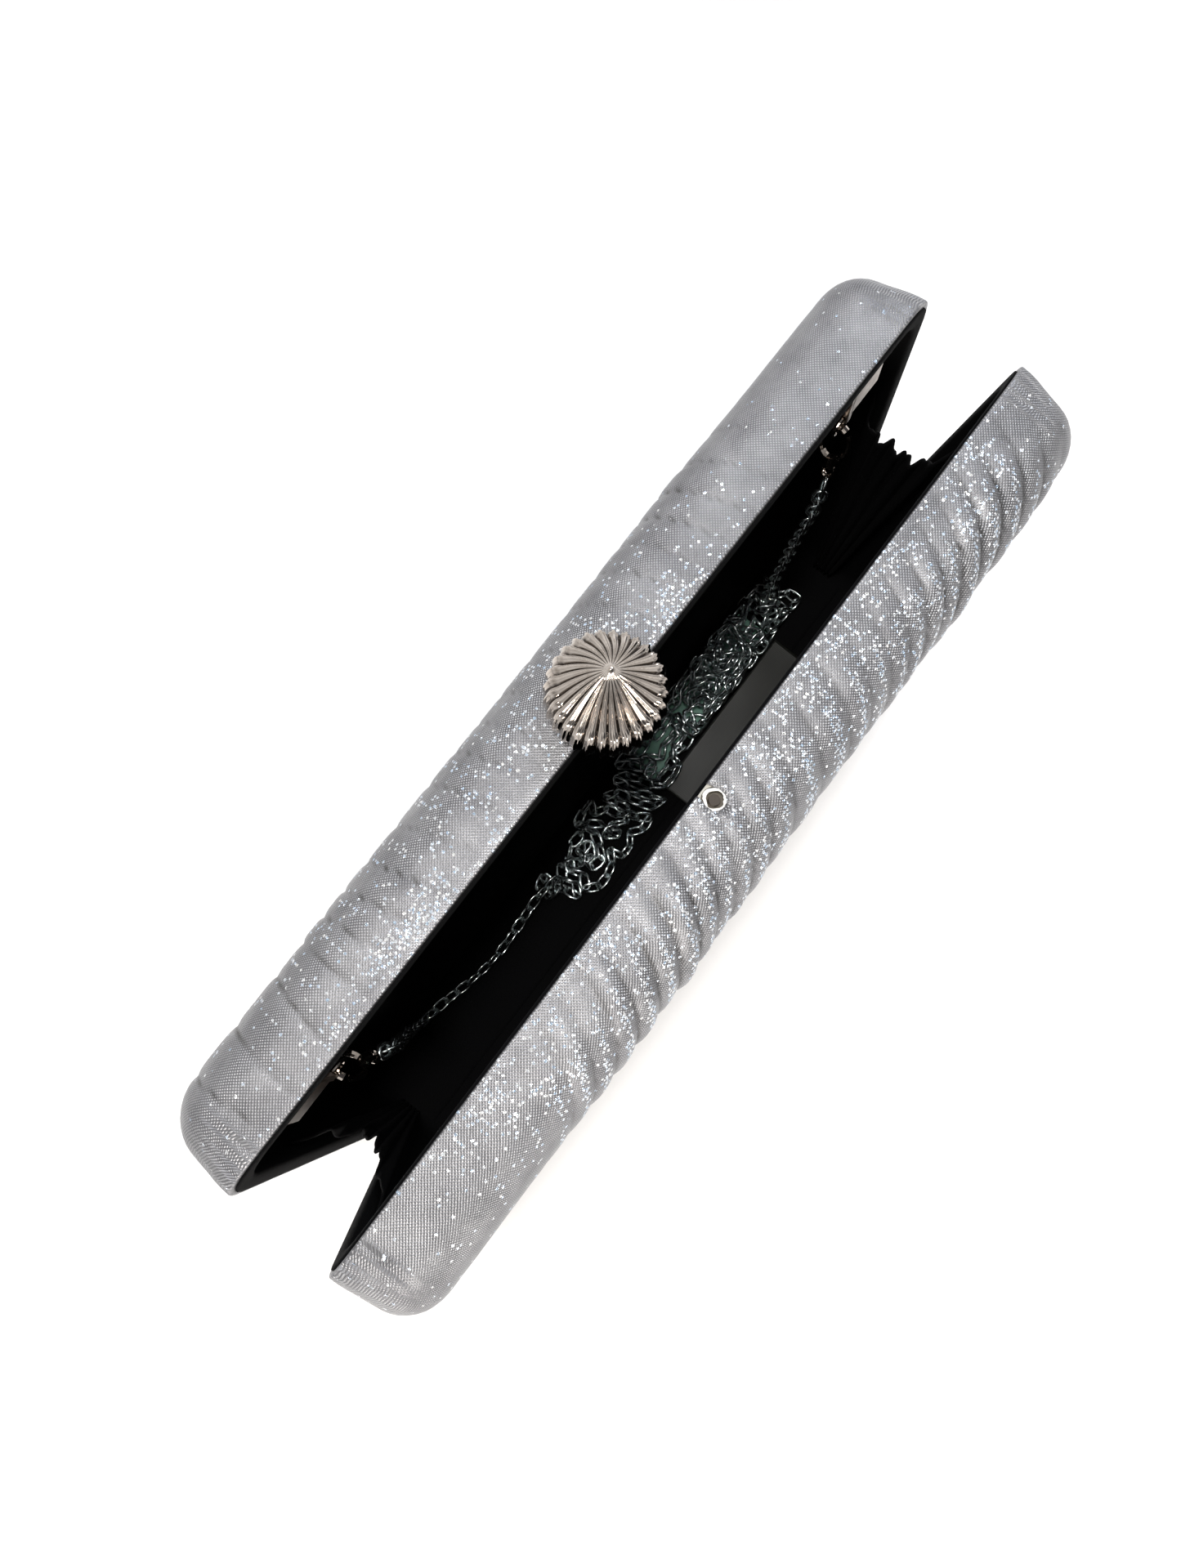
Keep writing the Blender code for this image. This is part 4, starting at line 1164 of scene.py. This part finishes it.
@dataclass
class ShoulderChain:
    """The cable chain: it hangs from both clasps and its slack lies heaped on the floor of the bag."""

    length: float = 1.15
    link_length: float = 5.6 * MM
    link_width: float = 3.6 * MM
    wire: float = 0.95 * MM
    gap: float = 3.15 * MM
    loop: float = 4.6 * MM
    seed: int = 7
    steps: int = 420
    tick: float = 1 / 500
    rounds: int = 14
    push: float = 0.42
    top_speed: float = 0.6
    left_end: float = -78 * MM
    narrowing: tuple[float, float] = (12 * MM, 30 * MM)
    crossing: int = 7
    passes: tuple[tuple[float, float], ...] = (
        (0.046, 0.012), (0.081, 0.016), (0.041, 0.020), (0.078, 0.024), (0.039, 0.028), (0.072, 0.032),
        (0.037, 0.016), (0.010, 0.012), (-0.009, 0.014), (0.010, 0.018), (-0.009, 0.020),
    )

    @property
    def pitch(self) -> float:
        """The distance from one link to the next."""
        return self.link_length - 2 * self.wire

    def build(self) -> None:
        points = self.settled()
        chain = self.thread(points)
        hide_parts("chain_run_right", "chain_heap", "chain_run_left")
        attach(chain, "back_half")

    def settled(self) -> np.ndarray:
        """Drops the slack between the two hanging runs until it lies still.

        Returns:
            The chain's pivots from the right clasp to the left one.
        """
        right = even_points(RIGHT_RUN, self.pitch)
        left = even_points(LEFT_RUN, self.pitch)[::-1]
        count = int(round(self.length / self.pitch)) + 1
        slack = self.loose_loops(right[-1], left[0], count - len(right) - len(left))
        points = np.concatenate([right, slack, left])
        held = np.zeros(len(points), bool)
        held[: len(right)] = True
        held[-len(left) :] = True
        return self.relax(points, held)

    def loose_loops(self, start: np.ndarray, end: np.ndarray, count: int) -> np.ndarray:
        """Lays the slack in loops that wander to and fro along the floor, each pass above the last.

        Args:
            start: Where the right run ends.
            end: Where the left run begins.
            count: How many pivots the slack has.

        Returns:
            Their first places, before they fall.
        """
        draw = np.random.default_rng(self.seed)
        turns = np.array([start[0], *[x for x, _ in self.passes], end[0]])
        heights = np.array([14 * MM, *[z for _, z in self.passes], 12 * MM])
        steps = np.abs(np.diff(turns))
        steps[self.crossing] *= 0.4
        lengths = np.concatenate([[0.0], np.cumsum(steps)])
        share = np.linspace(0.0, 1.0, count + 2)[1:-1]
        middle_x = np.interp(share * lengths[-1], lengths, turns)
        sweep = self.pitch / self.loop
        angle = np.cumsum(sweep * (0.85 + 0.4 * draw.random(count)))
        drift = np.interp(share * 9, np.arange(10), draw.random(10)) * 2.5 * MM
        radius = self.loop * (0.75 + 0.5 * np.interp(share * 24, np.arange(25), draw.random(25)))
        x = middle_x + radius * np.cos(angle)
        y = 6.0 * MM + drift + radius * 1.05 * np.sin(angle)
        z = np.interp(share * lengths[-1], lengths, heights)
        return np.stack([x, y, z], axis=1)

    def relax(self, points: np.ndarray, held: np.ndarray) -> np.ndarray:
        """Settles the chain as linked beads under gravity inside the bag.

        Args:
            points: The first places of the pivots.
            held: Which of them stay where they are.

        Returns:
            Their places at rest.
        """
        spot, speed = points.copy(), np.zeros_like(points)
        free = (~held).astype(float)[:, None]
        corners = [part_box(node) for node in ("label_back", "hinge_tape", "chain_heap")]
        numbers = np.arange(len(points))
        apart = np.abs(numbers[:, None] - numbers[None, :]) > 1
        upper = np.triu(apart)
        for step in range(self.steps):
            speed[:, 2] -= GRAVITY * self.tick
            speed *= 0.985 if step < self.steps * 0.7 else 0.90
            target = spot + speed * self.tick * free
            near = np.linalg.norm(target[:, None] - target[None, :], axis=2) < self.gap * 1.5
            first, second = np.nonzero(near & upper)
            for _ in range(self.rounds):
                self.keep_pitch(target, free)
                self.keep_apart(target, free, first, second)
                target = np.where(held[:, None], points, self.keep_inside(target, *corners))
            speed = (target - spot) / self.tick
            pace = np.linalg.norm(speed, axis=1, keepdims=True)
            speed *= np.minimum(1.0, self.top_speed / np.maximum(pace, 1e-9))
            spot = target
        return spot

    def keep_pitch(self, spots: np.ndarray, free: np.ndarray) -> None:
        """Pulls each pair of neighbours to one pitch apart, in place.

        Args:
            spots: The links' places.
            free: 1 for a link that can move, 0 for one that is held.
        """
        for first in (0, 1):
            a, b = spots[first:-1:2], spots[first + 1 :: 2]
            free_a, free_b = free[first:-1:2], free[first + 1 :: 2]
            gap = b - a
            far = np.linalg.norm(gap, axis=1, keepdims=True)
            fix = gap / np.maximum(far, 1e-9) * (far - self.pitch) / np.maximum(free_a + free_b, 1.0)
            a += fix * free_a
            b -= fix * free_b

    def keep_apart(self, spots: np.ndarray, free: np.ndarray, first: np.ndarray, second: np.ndarray) -> None:
        """Pushes links that touch apart, in place.

        Args:
            spots: The links' places.
            free: 1 for a link that can move, 0 for one that is held.
            first: One link of each near pair.
            second: The other.
        """
        gap = spots[second] - spots[first]
        far = np.linalg.norm(gap, axis=1)
        close = far < self.gap
        first, second, gap, far = first[close], second[close], gap[close], far[close]
        push = self.push * gap / np.maximum(far, 1e-9)[:, None] * (self.gap - far)[:, None]
        np.add.at(spots, first, -push * free[first])
        np.add.at(spots, second, push * free[second])

    def keep_inside(self, spots: np.ndarray, label: tuple, tape: tuple, heap: tuple) -> np.ndarray:
        """Keeps the links on the floor and off the walls.

        Args:
            spots: The links' places.
            label: The back label leaf's corners.
            tape: The hinge tape's corners.
            heap: The corners of the space the slack has.

        Returns:
            The places inside the bag.
        """
        inside = spots.copy()
        rest = self.link_width / 2
        on_label = (spots[:, 0] > label[0].x - rest) & (spots[:, 0] < label[1].x + rest)
        slope = np.abs(spots[:, 1]) * math.tan(HALF_OPENING)
        floor = tape[1].z + np.where(on_label, 0.75 * MM, 0.0) - slope
        inside[:, 2] = np.maximum(spots[:, 2], floor + rest - 0.2 * MM)
        front = np.interp(spots[:, 0], self.narrowing, [heap[0].y + rest - 0.6 * MM, 0.3 * MM])
        inside[:, 1] = np.clip(spots[:, 1], front, heap[1].y - rest + 0.9 * MM)
        inside[:, 0] = np.clip(spots[:, 0], self.left_end, heap[1].x - rest)
        return inside

    def link_shape(self) -> Mesh:
        """Makes one oval link along +X, of a few dozen faces.

        Returns:
            The link's mesh.
        """
        bend = (self.link_width - self.wire) / 2
        straight = (self.link_length - self.link_width) / 2
        turn = Matrix.Translation((0, bend, 0)) @ Euler((0, math.pi / 2, 0)).to_matrix().to_4x4()
        bm = spun_ring(self.wire / 2, 5, turn, (0, 0, -1), 12)
        for vert in bm.verts:
            share = max(-1.0, min(1.0, vert.co.x / (0.4 * MM)))
            vert.co.x += straight * share
        bmesh.ops.recalc_face_normals(bm, faces=bm.faces)
        mesh = bpy.data.meshes.new("chain_link")
        bm.to_mesh(mesh)
        bm.free()
        return mesh

    def thread(self, points: np.ndarray) -> Object:
        """Places a link between each pair of pivots, every second one turned on its side.

        Args:
            points: The pivots.

        Returns:
            The chain.
        """
        link = self.link_shape()
        bm = bmesh.new()
        across = Vector((0.3, 1.0, 0.2))
        for number, (start, end) in enumerate(zip(points, points[1:])):
            way = Vector(end - start).normalized()
            across = (across - way * across.dot(way)).normalized()
            roll = math.radians(45 + 90 * (number % 2) + 14 * math.sin(number * 2.4))
            side = Matrix.Rotation(roll, 3, way) @ across
            turn = Matrix((way, side, way.cross(side))).transposed().to_4x4()
            place = Matrix.Translation(Vector((start + end) / 2)) @ turn
            link.transform(place)
            bm.from_mesh(link)
            link.transform(place.inverted())
        bpy.data.meshes.remove(link)
        return finish_piece("shoulder_chain", bm, CHAIN_METAL.material())


# ---- studio ----
@dataclass
class Studio:
    """The pale floor, the soft lights and the camera above the open bag."""

    floor_size: float = 6.0
    tooth: float = 2.5 * MM
    lens: float = 24.956
    camera_place: Triple = (-0.03366, -0.01074, 0.30411)
    camera_turn: Triple = (8.711, -0.53, -52.526)

    def build(self) -> None:
        """Builds the whole studio."""
        self.floor()
        self.sky()
        self.softbox("key_softbox", (-0.72, -0.62, 0.62), 0.30, 7.5, "#fff8f0")
        self.softbox("back_softbox", (0.75, 0.25, 0.90), 0.50, 4.0, "#eef4ff")
        self.softbox("top_softbox", (-0.04, 0.03, 0.70), 0.07, 2.2, "#fffdfa")
        self.camera()
        bpy.context.scene.view_settings.view_transform = "Standard"

    def floor(self) -> None:
        """A plain pale floor that the bag stands on."""
        bm = bmesh.new()
        bmesh.ops.create_grid(bm, x_segments=8, y_segments=8, size=self.floor_size / 2)
        pale = bpy.data.materials.new("pale_paper")
        pale.use_nodes = True
        tree = pale.node_tree
        place = add_node(tree, "TexCoord").outputs["Object"]
        tooth = add_node(tree, "TexNoise", {"Scale": 1 / self.tooth, "Detail": 2.0}, {"Vector": place})
        tone = add_node(tree, "Mix", {"data_type": "RGBA", TONE_A: "#fafafa", TONE_B: "#fdfdfd"}, {0: tooth})
        matt = {"Roughness": 0.85, "Specular IOR Level": 0.2}
        set_node(tree, tree.nodes["Principled BSDF"], matt, {"Base Color": tone})
        made = finish_piece("studio_floor", bm, pale)

    def sky(self) -> None:
        """A room that is greyer overhead than around, darker and cooler towards -Y."""
        world = bpy.data.worlds.new("studio")
        bpy.context.scene.world = world
        world.use_nodes = True
        tree = world.node_tree
        way = add_node(tree, "TexCoord").outputs["Generated"]
        split = add_node(tree, "SeparateXYZ", {}, {"Vector": way}).outputs
        side = add_node(tree, "MapRange", {"From Min": -0.45, "From Max": 0.55}, {"Value": split["Y"]})
        ceiling = add_node(tree, "Mix", {"data_type": "RGBA", TONE_A: "#37373c", TONE_B: "#cbc8c4"}, {0: side})
        rise = add_node(tree, "MapRange", {"From Min": 0.25, "From Max": 0.85}, {"Value": split["Z"]})
        around = add_node(tree, "Mix", {"data_type": "RGBA", TONE_A: "#f2f2f2"}, {0: rise, TONE_B: ceiling})
        set_node(tree, tree.nodes["Background"], {"Strength": 1.0}, {"Color": around})

    @staticmethod
    def softbox(name: str, place: Triple, size: float, power: float, colour: str) -> None:
        """Hangs a square soft light that faces the bag.

        Args:
            name: The light's name.
            place: Where it hangs.
            size: Its width in metres.
            power: Its power in watts.
            colour: Its colour as #rrggbb.
        """
        light = bpy.data.lights.new(name, "AREA")
        light.shape = "SQUARE"
        light.size = size
        light.energy = power
        light.color = linear(colour)[:3]
        made = bpy.data.objects.new(name, light)
        made.location = place
        made.rotation_euler = (Vector((0, 0, 0.06)) - Vector(place)).to_track_quat("-Z", "Y").to_euler()
        bpy.context.scene.collection.objects.link(made)

    def camera(self) -> None:
        """The camera close above the bag, looking down into it."""
        data = bpy.data.cameras.new("camera")
        data.sensor_fit = "AUTO"
        data.sensor_width = 36.0
        data.lens = self.lens
        data.clip_start = 0.01
        made = bpy.data.objects.new("camera", data)
        made.location = self.camera_place
        made.rotation_euler = [math.radians(a) for a in self.camera_turn]
        bpy.context.scene.collection.objects.link(made)
        bpy.context.scene.camera = made


def dress_cad_nodes() -> None:
    """Gives each CAD node that stays its real finish."""
    lugs = ("lug_right", "lug_left")
    finishes = {
        FOAM: ("back_padding", "front_padding"), BOARD: ("back_shell", "front_shell"),
        HINGE_STEEL: ("back_hinge_leaf", "front_hinge_leaf", "hinge_pin", "knob_stud", "knob_washer"),
        MAGNET: ("closing_magnet",), LUG_NICKEL: lugs, NICKEL: ("knob_base", "catch_slug", *FITTINGS),
    }
    finishes[HINGE_STEEL] += tuple(f"{lug}_rivet" for lug in lugs)
    for finish, names in finishes.items():
        for name in names:
            for slot in FRAME["nodes"][name].material_slots:
                slot.material = finish.material()
            LOG.info("%s: %s", name, finish.name)


def main() -> None:
    logging.basicConfig(level=logging.INFO, format="%(name)s: %(message)s")
    Studio().build()
    ShoulderChain().build()
    BagHalf(Half.BACK, BACK_PLEATS).build()
    BagHalf(Half.FRONT, FRONT_PLEATS).build()
    Gusset("right", 12.5 * MM, 0.0018, 4.5).build()
    Gusset("left", 37 * MM, 0.0015, 1.8).build()
    HingeTape().build()
    Label(Half.BACK, MINT_SATIN).build()
    Label(Half.FRONT, SHADED_LABEL_SATIN).build()
    FlutedKnob().build()
    Catch().build()
    dress_cad_nodes()


if __name__ == "__main__":
    main()
